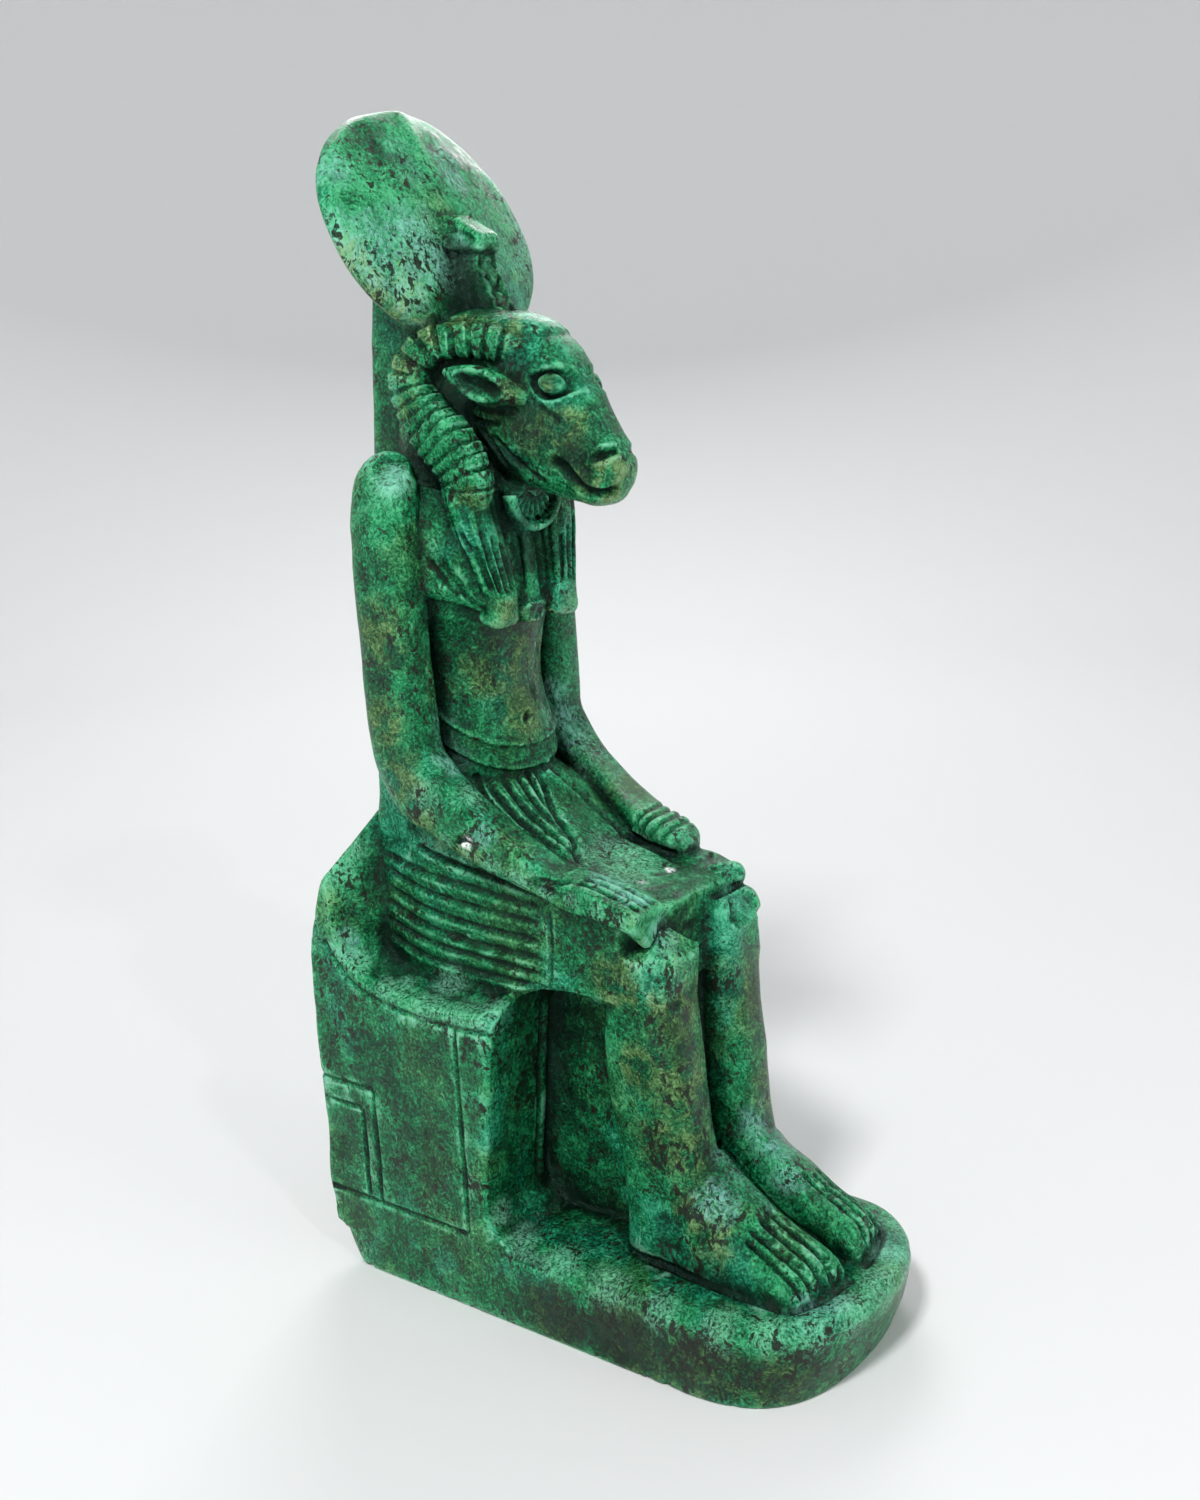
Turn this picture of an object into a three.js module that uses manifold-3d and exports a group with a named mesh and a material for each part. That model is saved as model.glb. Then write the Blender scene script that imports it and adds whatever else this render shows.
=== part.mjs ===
// A seated ram-headed figure, carved with its throne and its base from one block of stone.
// Millimetres, +Z up. The figure faces -Y, and +X is its left side.
import * as THREE from "three";
import { mergeVertices } from "three/addons/utils/BufferGeometryUtils.js";
import Module from "manifold-3d";

const wasm = await Module();
wasm.setup();

// Driving dimensions
const halfWidth = 40; // of the base, the throne and the shoulders
const baseTop = 24; // where the soles stand
const baseEdge = 20; // where the worn edge of the base begins
const baseFront = -116.5;
const baseFootFront = -110; // the front leans out as it rises
const baseRear = 50.5;
const baseFootRear = 42;
const throneFront = -18.7; // at the seat; the front recedes towards the base
const throneFrontLow = -12.3;
const throneRear = 51.2;
const seatRim = 91;
const seatInner = 95.5; // the ledge rises to the kilt
const wingTop = 122; // the back of the throne at its outer ends
const backTop = 141; // and behind the figure
const legWebHalf = 10; // the stone left standing behind the calves
const pillarHalf = 13;
const pillarRear = 38;
const discCentre = new THREE.Vector3(0, 19, 300.5);
const discHalf = [39, 34.6]; // across and up
const discLean = THREE.MathUtils.degToRad(23);
const incision = { width: 1.3, depth: 0.8 };

// Geometry helpers

function vector(x, y, z) {
  return new THREE.Vector3(x, y, z);
}

// A point on a unit oval; a power of 2 is a circle, and higher powers are squarer.
function oval(angle, power) {
  const [c, s] = [Math.cos(angle), Math.sin(angle)];
  return [Math.sign(c) * Math.abs(c) ** (2 / power), Math.sign(s) * Math.abs(s) ** (2 / power)];
}

// Smooth in-between rows for a table of stations, with a number of steps for each gap.
function refine(rows, steps) {
  const fine = [];
  for (let i = 0; i < rows.length - 1; i++) {
    const a = rows[Math.max(i - 1, 0)];
    const b = rows[i];
    const c = rows[i + 1];
    const d = rows[Math.min(i + 2, rows.length - 1)];
    for (let s = 0; s < steps; s++) {
      const t = s / steps;
      fine.push(b.map((value, k) => value + 0.5 * t * (c[k] - a[k]
        + t * (2 * a[k] - 5 * b[k] + 4 * c[k] - d[k] + t * (3 * b[k] - a[k] - 3 * c[k] + d[k])))));
    }
  }
  fine.push(rows.at(-1));
  return fine;
}

// A closed body through rings of points. A capped cylinder gives the faces: its wall moves
// onto the rings, and its two cap centres onto the middles of the end rings.
function skin(rings) {
  const steps = rings.length - 1;
  const sides = rings[0].length;
  const geometry = new THREE.CylinderGeometry(1, 1, steps, sides, steps);
  const position = geometry.attributes.position;
  for (let i = 0; i < position.count; i++) {
    const ring = rings[Math.round(position.getY(i) + steps / 2)];
    const [x, z] = [position.getX(i), position.getZ(i)];
    const turn = Math.round((sides * Math.atan2(x, z)) / (2 * Math.PI));
    const point = Math.hypot(x, z) < 0.5
      ? ring.reduce((sum, p) => sum.add(p), vector(0, 0, 0)).divideScalar(sides)
      : ring[(turn + sides) % sides];
    position.setXYZ(i, point.x, point.y, point.z);
  }
  return geometry;
}

// A limb along a path. Each row is x, y, z, half size across (along X), half size through,
// and squareness; the sections stand square to the path.
function limb(rows, sides, relief = () => 1) {
  const centres = rows.map(([x, y, z]) => vector(x, y, z));
  return skin(rows.map(([, , , across, through, power], i) => {
    const ahead = centres[Math.min(i + 1, rows.length - 1)];
    const along = ahead.clone().sub(centres[Math.max(i - 1, 0)]).normalize();
    const side = vector(1, 0, 0).addScaledVector(along, -along.x).normalize();
    const up = along.clone().cross(side);
    return Array.from({ length: sides }, (_, k) => {
      const angle = (2 * Math.PI * (k + 0.5)) / sides;
      const [s, u] = oval(angle, power);
      const scale = relief(i, angle);
      return centres[i].clone().addScaledVector(side, s * across * scale)
        .addScaledVector(up, u * through * scale);
    });
  }));
}

// A body of level sections. Each row is z, middle x, front y, rear y, half width, squareness.
function stack(rows, sides) {
  return skin(rows.map(([z, x, front, rear, half, power]) =>
    Array.from({ length: sides }, (_, k) => {
      const [s, u] = oval((2 * Math.PI * (k + 0.5)) / sides, power);
      return vector(x + s * half, (front + rear) / 2 - (u * (rear - front)) / 2, z);
    })));
}

// A ball stretched to half sizes and turned about X.
function pebble(centre, halves, tilt = 0, sides = 10) {
  const geometry = new THREE.SphereGeometry(1, sides, Math.round(sides * 0.6));
  geometry.scale(...halves);
  geometry.rotateX(tilt);
  return geometry.translate(...centre);
}

// A tapered block between two upright rectangles, each given as y, half width, low and high z.
function block(rows, middle = 0) {
  return skin(rows.map(([y, half, low, high]) => [
    vector(middle - half, y, low), vector(middle + half, y, low),
    vector(middle + half, y, high), vector(middle - half, y, high),
  ]));
}

// A cutter for an incised line: a diamond bar along a path that lies on the surface.
function scribe(points, outward, width = incision.width, depth = incision.depth) {
  const path = points.map((p) => vector(...p));
  const out = vector(...outward).normalize();
  return skin(path.map((point, i) => {
    const along = path[Math.min(i + 1, path.length - 1)].clone().sub(path[Math.max(i - 1, 0)]);
    const side = along.cross(out).normalize();
    return [[0, -depth], [width / 2, 0.15], [0, depth], [-width / 2, 0.15]]
      .map(([s, o]) => point.clone().addScaledVector(side, s).addScaledVector(out, o));
  }));
}

function mirrored(geometry) {
  return geometry.clone().scale(-1, 1, 1);
}

// The geometry and its mirror image, for what the figure has on both sides.
function both(...geometries) {
  return geometries.flatMap((geometry) => [geometry, mirrored(geometry)]);
}

// The solid of a closed geometry, with its faces turned outwards.
function toSolid(geometry) {
  const shell = geometry.clone();
  shell.deleteAttribute("normal");
  shell.deleteAttribute("uv");
  const merged = mergeVertices(shell, 1e-4);
  const points = merged.attributes.position.array;
  const corner = (index) => vector(...points.slice(3 * index, 3 * index + 3));
  const faces = [];
  let volume = 0;
  for (let i = 0; i < merged.index.count; i += 3) {
    const face = [0, 1, 2].map((k) => merged.index.getX(i + k));
    if (new Set(face).size < 3) continue;
    faces.push(face);
    volume += corner(face[0]).dot(corner(face[1]).cross(corner(face[2])));
  }
  if (volume < 0) faces.forEach((face) => face.reverse());
  return new wasm.Manifold(new wasm.Mesh({
    numProp: 3,
    vertProperties: new Float32Array(points),
    triVerts: new Uint32Array(faces.flat()),
  }));
}

function join(geometries) {
  return geometries.map(toSolid).reduce((whole, solid) => whole.add(solid));
}

// Base: straight sides, round front corners, and a worn edge all round the top

function baseOutline(front, rear, cornerStart, cornerPull) {
  const half = new THREE.Path();
  half.moveTo(0, rear);
  half.lineTo(halfWidth - 6, rear);
  half.quadraticCurveTo(halfWidth, rear, halfWidth, rear - 6);
  half.lineTo(halfWidth, cornerStart);
  half.bezierCurveTo(halfWidth, front + cornerPull, halfWidth - 14, front, 0, front);
  const right = half.getPoints(5).filter((p, i, all) => i === 0 || p.distanceTo(all[i - 1]) > 0.01);
  const left = right.slice(1, -1).reverse().map((p) => new THREE.Vector2(-p.x, p.y));
  return [...right, ...left];
}

function statueBase() {
  const low = baseOutline(baseFootFront, baseFootRear, -76, 8);
  const high = baseOutline(baseFront, baseRear, -84, 12);
  const middleY = (baseFront + baseRear) / 2;
  // Each level is z, how far the outline has grown from low to high, and its inset.
  const levels = [[0, 0, 0.8], [1, 0.1, 0], [9, 0.6, 0], [baseEdge - 1, 0.95, 0],
    [baseEdge + 1.2, 1, 1], [baseTop - 0.7, 1, 4.5], [baseTop, 1, 9]];
  return skin(levels.map(([z, grown, inset]) => low.map((p, i) => {
    const x = THREE.MathUtils.lerp(p.x, high[i].x, grown);
    const y = THREE.MathUtils.lerp(p.y, high[i].y, grown);
    const reach = (baseRear - baseFront) / 2;
    const worn = inset * THREE.MathUtils.lerp(0.45, 1, THREE.MathUtils.smoothstep(y, -104, -70));
    return vector(x * (1 - worn / halfWidth), middleY + (y - middleY) * (1 - worn / reach), z);
  })));
}

// Throne: a seat with a low back that rises from its outer ends to the figure

function throneSection(x, inset) {
  const inward = THREE.MathUtils.clamp((halfWidth - Math.abs(x)) / (halfWidth - 25), 0, 1);
  const ledge = THREE.MathUtils.lerp(seatRim, seatInner, inward);
  const top = THREE.MathUtils.lerp(wingTop, backTop, inward);
  const lean = 11 * inward;
  const section = [
    [throneFrontLow - 4, baseEdge], [throneFrontLow - 3, baseTop + 3], [throneFrontLow, baseTop + 10],
    [throneFront + 1, ledge - 5], [throneFront, ledge], [throneFront + 2, ledge + 1.5],
    [throneFront + 8, ledge], [8, ledge - 0.5], [20, ledge + 0.5], [30, ledge + 3.6],
    [37 - lean / 2, ledge + 9], [40.5 - lean, ledge + 18], [41.5 - lean, top - 3], [43 - lean, top],
    [46 - lean, top - 4.5], [49 - lean / 2, 106 + 6 * inward], [throneRear - 0.5, 96],
    [throneRear, 82], [throneRear - 0.7, 45], [throneRear - 1.2, baseEdge - 1],
    [baseFootRear, baseEdge - 10],
  ];
  const middle = [30, 66];
  return section.map(([y, z]) => {
    const away = Math.hypot(y - middle[0], z - middle[1]);
    const scale = 1 - inset / away;
    return vector(x, middle[0] + (y - middle[0]) * scale, middle[1] + (z - middle[1]) * scale);
  });
}

function throne() {
  const places = [[40, 1.3], [38.9, 0], [33, 0], [25, 0], [12, 0]];
  const all = [...places, ...places.map(([x, inset]) => [-x, inset]).reverse()];
  return skin(all.map(([x, inset]) => throneSection(x, inset)));
}

// The web of stone between the throne and the calves
function legWeb() {
  const [foot, knee] = [baseEdge, 108];
  return block([[throneFrontLow + 3, legWebHalf + 1, foot, knee],
    [throneFrontLow - 8, legWebHalf, foot, knee], [-57, legWebHalf - 1, foot, knee]]);
}

// Back pillar, up behind the head to the disc
function backPillar() {
  return stack([[100, 0, 20, 46, pillarHalf + 4, 6], [145, 0, 20, 41, pillarHalf + 2, 6],
    [237, 0, 14, pillarRear, pillarHalf, 6], [272, 0, 16, 36, pillarHalf - 1, 6],
    [296, 0, 22, 35, pillarHalf - 3, 5]], 8);
}

// Lap: kilt and thighs in one, with pleats on the sides, and a fan of pleats on the right of a
// plain apron that widens from the belt to the knees

const sidePleats = 5;
const lapPleats = 5;
const apronLeft = 13; // where the apron meets the left forearm

// Each row is y, half width, underside, top at the edge, top of the lap, depth of the pleats,
// right edge of the apron.
const lapRows = [
  [36, 26, 88, 130, 146, 0.5, 4], [8, 29, 91, 138, 155, 0.8, 4],
  [-6, 29, 92, 136, 150.5, 0.8, 3.5], [-15, 28.8, 93, 132.5, 141, 0.8, 1],
  [-24, 28.6, 98, 129.6, 134, 0.8, -6.5], [-30, 28.4, 99.5, 127, 130.5, 0.8, -12],
  [-30.8, 28, 100, 126.6, 130, 0, -12.5],
  [-53, 26, 97, 120.5, 124.5, 0, -13], [-59, 22, 100, 116, 122.5, 0, -12],
];

function lapRing([y, half, under, edge, top, depth, apronRight]) {
  const height = (x) => top - (top - edge) * (Math.abs(x) / half) ** 3;
  const side = [];
  for (let i = 0; i <= 2 * sidePleats; i++) {
    const z = THREE.MathUtils.lerp(under + 3, Math.min(edge, 130) - 4, i / (2 * sidePleats));
    side.push([half - (i % 2 ? depth : 0), z]);
  }
  const lapTop = [[half - 1.5, edge - 1.5], [22, height(22)], [apronLeft + 1, height(14) - 0.6],
    [apronLeft, height(13)], [apronRight + 0.6, height(apronRight)]];
  for (let i = 0; i <= 2 * lapPleats; i++) {
    const x = THREE.MathUtils.lerp(apronRight, -23, i / (2 * lapPleats));
    lapTop.push([x, height(x) - (i % 2 ? 0 : depth)]);
  }
  lapTop.push([1.5 - half, edge - 1.5]);
  const leftSide = side.map(([x, z]) => [-x, z]).reverse();
  return [[half - 1, under], ...side, ...lapTop, ...leftSide, [1 - half, under]]
    .map(([x, z]) => vector(x, y, z));
}

function lap() {
  return skin(lapRows.map(lapRing));
}

// Legs: blocky knees, straight shins, and long flat feet

function shin() {
  return stack([[117.5, -16, -63.5, -55, 8, 3.2], [115, -16.2, -65.6, -53, 11, 3.8],
    [107, -16.2, -66.6, -50, 11.6, 3.6], [101, -16.2, -66.6, -47.4, 11, 3.2],
    [95, -15.8, -66.8, -45.6, 10.2, 2.8], [80, -15.2, -68.4, -45.5, 9.6, 2.8],
    [58, -14.8, -70.8, -47, 9.2, 2.8], [38, -14.4, -73.5, -47.5, 9.6, 2.8],
    [baseEdge, -14.4, -74, -47.5, 10.2, 2.8]], 10);
}

// Each row of the foot is y, inner x, outer x, height at the inner and at the outer side.
function foot() {
  const rows = [[-47.5, -8, -20, 34, 33], [-57, -5.4, -23.6, 47, 42], [-69, -5, -24.5, 54, 46],
    [-76, -4.6, -24.7, 49.5, 41.5], [-88, -4, -25, 41, 36], [-99, -3.6, -25, 35.5, 31.5],
    [-104, -3.6, -24.5, 32, 29], [-106.5, -5, -22.5, 28.5, 26.5]];
  return skin(rows.map(([y, inner, outer, high, low]) => {
    const at = (f, z) => vector(THREE.MathUtils.lerp(inner, outer, f), y + (y < -95 ? 3 * f : 0), z);
    return [at(0, baseEdge), at(0, (high + baseTop) / 2), at(0.08, high - 2), at(0.3, high),
      at(0.65, (high + low) / 2 + 0.6), at(0.92, low - 0.8), at(1, (low + baseTop) / 2), at(1, baseEdge)];
  }));
}

function toeLines() {
  return [0.3, 0.49, 0.67, 0.84].map((f) => {
    const x = (y) => THREE.MathUtils.lerp(-4 - (y + 108) * 0.02, -25, f);
    const height = (y) => THREE.MathUtils.lerp(32.4 + (y + 104) * 0.62, 29 + (y + 104) * 0.45, f);
    return scribe([[x(-84), -84, height(-84) + 0.8], [x(-102), -102 + 3 * f, height(-102) - 0.2],
      [x(-108), -107.5 + 3 * f, baseTop + 1]], [0, -0.35, 1], 1.6, 1.5);
  });
}

// Torso: narrow waist, flat chest with an overhanging lower edge, and a broad tilted belt

function torso() {
  return stack([[146, 0, -5, 34, 22, 2.3], [160, 0, -6.6, 34, 21.3, 2.3],
    [176, 0, -3.2, 34, 20.2, 2.3], [190, 0, -3, 34, 22.5, 2.4], [203, 0, -4.5, 34, 27, 2.5],
    [224, 0, -1.4, 34, 31, 2.6], [236, 0, 6, 33, 28, 2.4], [240, 0, 12, 30, 21, 2.2]], 14);
}

// The chest stands proud of the belly, with its lower edge falling towards the middle.
function chest() {
  const edge = [[-29.5, 10, 208], [-28, 3.6, 206.5], [-22, -3.2, 203], [-14, -7, 198.5], [0, -7.6, 198]];
  const full = [...edge, ...edge.slice(0, -1).reverse().map(([x, y, z]) => [-x, y, z])];
  const levels = [[-1.2, 1.5, 0.6], [0, 0, 0], [9, 0.4, 0.2], [20, 3, 0.55], [29, 8, 0.8]];
  return skin(levels.map(([up, back, level]) => {
    const front = full.map(([x, y, z]) => vector(x * (1 - back * 0.01), y + back * (1 - Math.abs(x) * 0.01),
      THREE.MathUtils.lerp(z, 202, level * 0.4) + up));
    return [...front, vector(24, 24, 206 + up), vector(-24, 24, 206 + up)];
  }));
}

function belt() {
  const slope = 0.62;
  const levels = [[-4.2, -0.8], [-3.4, 0.6], [-2, 0], [2, 0], [3.4, 0.6], [4.2, -0.8]];
  const sides = 20;
  return skin(levels.map(([rise, proud]) => Array.from({ length: sides }, (_, k) => {
    const [s, u] = oval((2 * Math.PI * k) / sides, 2.3);
    const y = 13 - u * (19.6 + proud);
    return vector(s * (21.6 + proud), y, 156.4 + rise + slope * (y + 7));
  })));
}

// The stone left between the arms and the body
function armWeb() {
  return stack([[118, 0, 22, 40, 25, 6], [146, 0, 14, 32, 28, 6], [200, 0, 12, 27, 28, 6],
    [228, 0, 13, 26, 26, 6], [236, 0, 16, 26, 20, 5]], 8);
}

// Arms: rows of x, y, z, half across, half through, squareness

const upperArm = [
  [-24.5, 14.4, 239, 4, 5, 2], [-28.4, 14.4, 236.4, 7.4, 7.8, 2.4], [-31.4, 14.4, 228, 8.3, 9, 2.6],
  [-31.9, 14.2, 206, 8.1, 9.3, 2.9], [-32.3, 13, 174, 7.6, 9.2, 3],
];
const restingArm = [
  ...upperArm, [-31.8, 11.5, 160, 7.5, 9.4, 3], [-31.3, 6.5, 152, 7.5, 9.8, 3],
  [-30.6, -1, 146.5, 7.4, 8.4, 3], [-29.2, -13, 139.5, 6.9, 6.6, 3], [-26.4, -31, 130.2, 6, 4.4, 3],
  [-24.6, -42, 126.6, 6.8, 3.7, 3.4], [-23.4, -55, 123, 6.9, 3.3, 3.6],
  [-23.2, -60.4, 121.2, 4.8, 2.2, 3],
];
const fistArm = [
  ...upperArm, [-31.8, 11.8, 161, 7.5, 8.4, 3], [-31, 6, 151.8, 7.4, 8, 3],
  [-30, -3, 144.6, 7.2, 6.6, 3], [-27.6, -17, 136.6, 6.4, 5.6, 3], [-24.2, -28, 132.6, 7.6, 5.9, 2.6],
  [-22.8, -35.5, 130.4, 8.2, 5.9, 2.6], [-22, -41.5, 128.2, 7, 5.2, 2.4], [-21.8, -44.5, 127, 4, 3, 2.2],
];

// The right hand lies flat and the left hand is closed on a short folded cloth.
function arms() {
  const cloth = block([[-36, 6, 120, 126.4], [-48, 7, 119, 126], [-56, 5.5, 118, 123.4]], 21);
  const clothEnd = pebble([23.4, -56.6, 121], [4.6, 4, 4]);
  return [limb(restingArm, 10), mirrored(limb(fistArm, 10)), cloth, clothEnd];
}

function fingerLines() {
  const flat = [-3.4, 0.1, 3.5].map((x) => scribe(
    [[x - 24, -45, 129.4], [x - 23.2, -58, 125.6], [x - 23, -62, 121]], [0, -0.2, 1], 1.4, 1.5));
  const closed = [0, 3.4, 6.8].map((on) => scribe(
    [[15.5, -30.8 - on, 135.8 - 0.3 * on], [22, -32.8 - on, 137.2 - 0.3 * on],
      [29, -30.8 - on, 133.8 - 0.3 * on]], [0.1, -0.2, 1], 1.4, 1.4));
  return [...flat, ...closed];
}

// Head of a ram: a wedge that falls from the brow to a blunt muzzle. Each row is the y and z
// of the top, the y and z of the bottom, half width and squareness.
const headRows = [
  [6, 276, 13, 240, 15.5, 2.3], [-8, 275.5, 0, 236, 15.2, 2.4], [-15, 274, -8, 233, 14.4, 2.5],
  [-21, 272, -15, 231, 13.2, 2.6], [-26.5, 267.6, -20.5, 229.4, 11.8, 2.7],
  [-31, 260.4, -25.5, 228, 10.6, 2.7], [-35, 252.6, -30, 227, 9.3, 2.7],
  [-39.4, 246.6, -34.4, 227.6, 8.2, 2.7], [-43, 243.2, -38.6, 229.6, 7, 2.7],
  [-45, 239.8, -42.4, 233, 4.4, 2.3],
];

function head() {
  const sides = 14;
  return skin(headRows.map(([topY, topZ, lowY, lowZ, half, power]) =>
    Array.from({ length: sides }, (_, k) => {
      const [s, u] = oval((2 * Math.PI * (k + 0.5)) / sides, power);
      const f = (1 + u) / 2;
      return vector(s * half, THREE.MathUtils.lerp(lowY, topY, f), THREE.MathUtils.lerp(lowZ, topZ, f));
    })));
}

function neckAndWig() {
  return stack([[200, 0, -3, 20, 14, 2.4], [222, 0, -6.6, 26, 18, 2.4], [240, 0, -7.6, 28, 20, 2.4],
    [256, 0, -6, 25, 19, 2.4], [270, 0, -9, 20, 16, 2.2], [277, 0, -6, 18, 10, 2.2]], 12);
}

// Horn: a ribbed band that rises from the brow, turns down behind the ear and ends beside the jaw

const hornPath = [
  [-7.5, -17.5, 265.6, 3, 3.2, 2.4], [-11, -11.8, 268.8, 4.8, 4.6, 2.6], [-14.8, -3.6, 270.4, 5, 4.8, 2.6],
  [-18.4, 6, 268.8, 5, 5, 2.6], [-21, 11, 261, 5, 5.6, 2.6], [-21.4, 6.6, 251.4, 4.7, 6.8, 2.6],
  [-21.4, -0.8, 243.4, 4.4, 7.8, 2.6], [-20, -7, 234.4, 4, 7, 2.5],
  [-18.4, -9, 228.6, 3.4, 5, 2.4], [-17.2, -9.6, 225.6, 2, 3, 2.2],
];

function horn() {
  const rows = refine(hornPath, 3);
  return limb(rows, 7, (i) => (i % 2 ? 1 : 0.85));
}

function ear() {
  return limb([[-12, -20.5, 254.6, 1.4, 1.4, 2], [-15.6, -16, 258, 2.8, 2.8, 2],
    [-19.4, -11, 260.4, 2.8, 3.2, 2], [-22.4, -6.4, 262, 2, 2.4, 2],
    [-24, -3.2, 262.8, 0.6, 0.7, 2]], 8);
}

function cheekTuft() {
  return pebble([-16.2, -9.6, 255.4], [3, 6.8, 2.1], 0.34, 6);
}

// Throat: a fan of ribs with a raised rim below, and a strip that ends in an oval

function beard() {
  const ribs = 11;
  const fan = limb([[0, -2, 233, 8, 8, 2.4], [0, -8.5, 230, 9.4, 9, 2.4],
    [0, -12.8, 228.4, 8.4, 7.8, 2.4]], 2 * ribs,
  (i, angle) => (i && Math.round((angle * ribs) / Math.PI - 0.5) % 2 ? 0.9 : 1));
  const rim = limb(Array.from({ length: 8 }, (_, k) => {
    const turn = Math.PI * (1.02 + (k * 0.96) / 7);
    return [9.2 * Math.cos(turn), -9.8, 228.6 + 8.2 * Math.sin(turn), 1.8, 2.6, 2];
  }), 5);
  return [fan, rim];
}

function beardStrip() {
  return stack([[194, 0, -9.4, 2, 4.4, 2.4], [198, 0, -11, 2, 5.6, 2.4], [203, 0, -10, 2, 3.6, 3],
    [224, 0, -7.6, 2, 3.4, 3]], 8);
}

// Lappet of the wig: a striped band from behind the horn down to the chest, with a knob at its end

function lappet() {
  const rows = [[-12.5, 4, 247, 5, 5, 2.6], [-17.4, -3, 229, 6.8, 5.2, 2.8],
    [-14.9, -6.3, 213, 5.8, 4.4, 3], [-13.2, -7.8, 204, 5, 4, 3], [-12.8, -8.4, 199.4, 5.2, 4.4, 2.6],
    [-12.8, -8, 195.6, 3.2, 2.8, 2.4]];
  const ribs = 7;
  return limb(rows, 2 * ribs,
    (i, angle) => (i < 4 && Math.round((angle * ribs) / Math.PI - 0.5) % 2 ? 0.88 : 1));
}

// Sun disc: leans back, with a soft upright ridge down its face and a rounded rim

function sunDisc() {
  const up = vector(0, Math.sin(discLean), Math.cos(discLean));
  const out = vector(0, -Math.cos(discLean), Math.sin(discLean));
  // Each ring is its share of the full size and its depth before and behind the rim's middle.
  const rings = [[0.35, 7.4, 0.8], [0.75, 4.6, 1], [0.965, 1.8, 1], [1, -0.4, 1], [0.96, -2.8, 0],
    [0.55, -5.6, 0]];
  const sides = 30;
  return skin(rings.map(([share, bulge, ridge]) => Array.from({ length: sides }, (_, k) => {
    const [s, u] = oval((2 * Math.PI * k) / sides, 2);
    const slope = ridge * 1.4 * (0.5 - Math.abs(s)) * share;
    return discCentre.clone().add(vector(s * discHalf[0] * share, 0, 0))
      .addScaledVector(up, u * discHalf[1] * share).addScaledVector(out, bulge + slope);
  })));
}

// Cobra: an upright block that leans back with the disc, under an overhanging head
function cobra() {
  const body = stack([[264, 0, -10.5, 14, 4.8, 8], [276, 0, -6.8, 14, 4.6, 8], [286, 0, -2.2, 16, 4.5, 8],
    [292, 0, 0.8, 18, 4.4, 8]], 8);
  const top = stack([[291, 0, 0.6, 18, 4.6, 8], [293, 0, -1, 18, 4.9, 8], [297.4, 0, -1.2, 20, 4.9, 8],
    [300, 0, 2.2, 22, 4.7, 8], [304, 0, 8.6, 24, 4, 8]], 8);
  return [body, top];
}

// The rounded top of the head between the horns and the disc
function crown() {
  return limb([[0, -19, 271, 6, 4, 2.2], [0, -10, 272.5, 12, 5.4, 2.4], [0, 2, 273.2, 15.5, 6, 2.4],
    [0, 13, 270, 14, 6, 2.4]], 10);
}

// Cuts

function eyeSocket() {
  return pebble([-11.2, -26.6, 258.6], [2.2, 6.2, 4.4], 0.42, 8);
}

function eyeball() {
  return pebble([-9.2, -26.6, 258.4], [2.2, 4.4, 2.9], 0.42, 7);
}

function faceLines() {
  const mouth = scribe([[-11.5, -25, 238.6], [-9.6, -33, 235.2], [-7.6, -39.6, 233.6], [-4.6, -44.6, 233.2],
    [0, -46.4, 233.4]], [-0.9, -0.5, 0], 1.6, 1.5);
  const nostril = pebble([-6.2, -43.2, 239.6], [2, 2.6, 1.3], -0.5, 6);
  return [mouth, nostril];
}

// Incised frame lines on each side of the throne
function panelLines(side) {
  const x = side * halfWidth;
  const out = [side, 0, 0];
  const rim = scribe([[x, -18, 87.5], [x, -6, 86.8], [x, 8, 87], [x, 22, 88.6], [x, 33, 92], [x, 40, 98],
    [x, 44, 104]], out);
  const foot = scribe([[x, -4.6, baseTop], [x, 52, baseTop]], out);
  const post = scribe([[x, -5, 87], [x, -5, baseTop]], out);
  const outer = scribe([[x, 29, baseTop], [x, 29, 60], [x, 52, 60]], out);
  const inner = scribe([[x, 34, baseTop + 2], [x, 34, 53], [x, 52, 53]], out);
  return [rim, foot, post, outer, inner];
}

// The two grooves where the throne meets the web behind the legs
function webLines() {
  return both(...[12, 16.5].map((x) => scribe([[x, throneFront + 0.8, 90], [x, throneFrontLow - 0.2, 33]],
    [0, -1, 0], 1.8, 1.4)));
}

function statue() {
  const body = join([
    statueBase(), throne(), legWeb(), backPillar(), lap(), ...both(shin(), foot()),
    torso(), chest(), armWeb(), belt(), ...arms(), neckAndWig(), head(), crown(),
    ...both(lappet()), ...beard(), beardStrip(), sunDisc(), ...cobra(),
  ]);
  const cuts = join([
    ...both(eyeSocket(), ...toeLines(), ...faceLines()), ...fingerLines(),
    ...panelLines(-1), ...panelLines(1), ...webLines(),
  ]);
  return body.subtract(cuts).add(join(both(eyeball(), horn(), ear(), cheekTuft())));
}

// The statue's mesh stands with the middle of its outline over the origin.
function statueMesh() {
  const { vertProperties, triVerts } = statue().getMesh();
  const geometry = new THREE.BufferGeometry();
  geometry.setAttribute("position", new THREE.BufferAttribute(vertProperties, 3));
  geometry.setIndex(new THREE.BufferAttribute(triVerts, 1));
  geometry.computeVertexNormals();
  geometry.computeBoundingBox();
  const stone = new THREE.MeshStandardMaterial({ color: "#3f8f6d", roughness: 0.45, metalness: 0 });
  const mesh = new THREE.Mesh(geometry, stone);
  mesh.name = "khnum_statue";
  mesh.position.y = -(geometry.boundingBox.min.y + geometry.boundingBox.max.y) / 2;
  return mesh;
}

const group = new THREE.Group();
group.add(statueMesh());

export default group;
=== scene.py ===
import math
import time

import bpy
import numpy as np
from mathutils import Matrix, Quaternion, Vector
from mathutils.bvhtree import BVHTree


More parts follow.
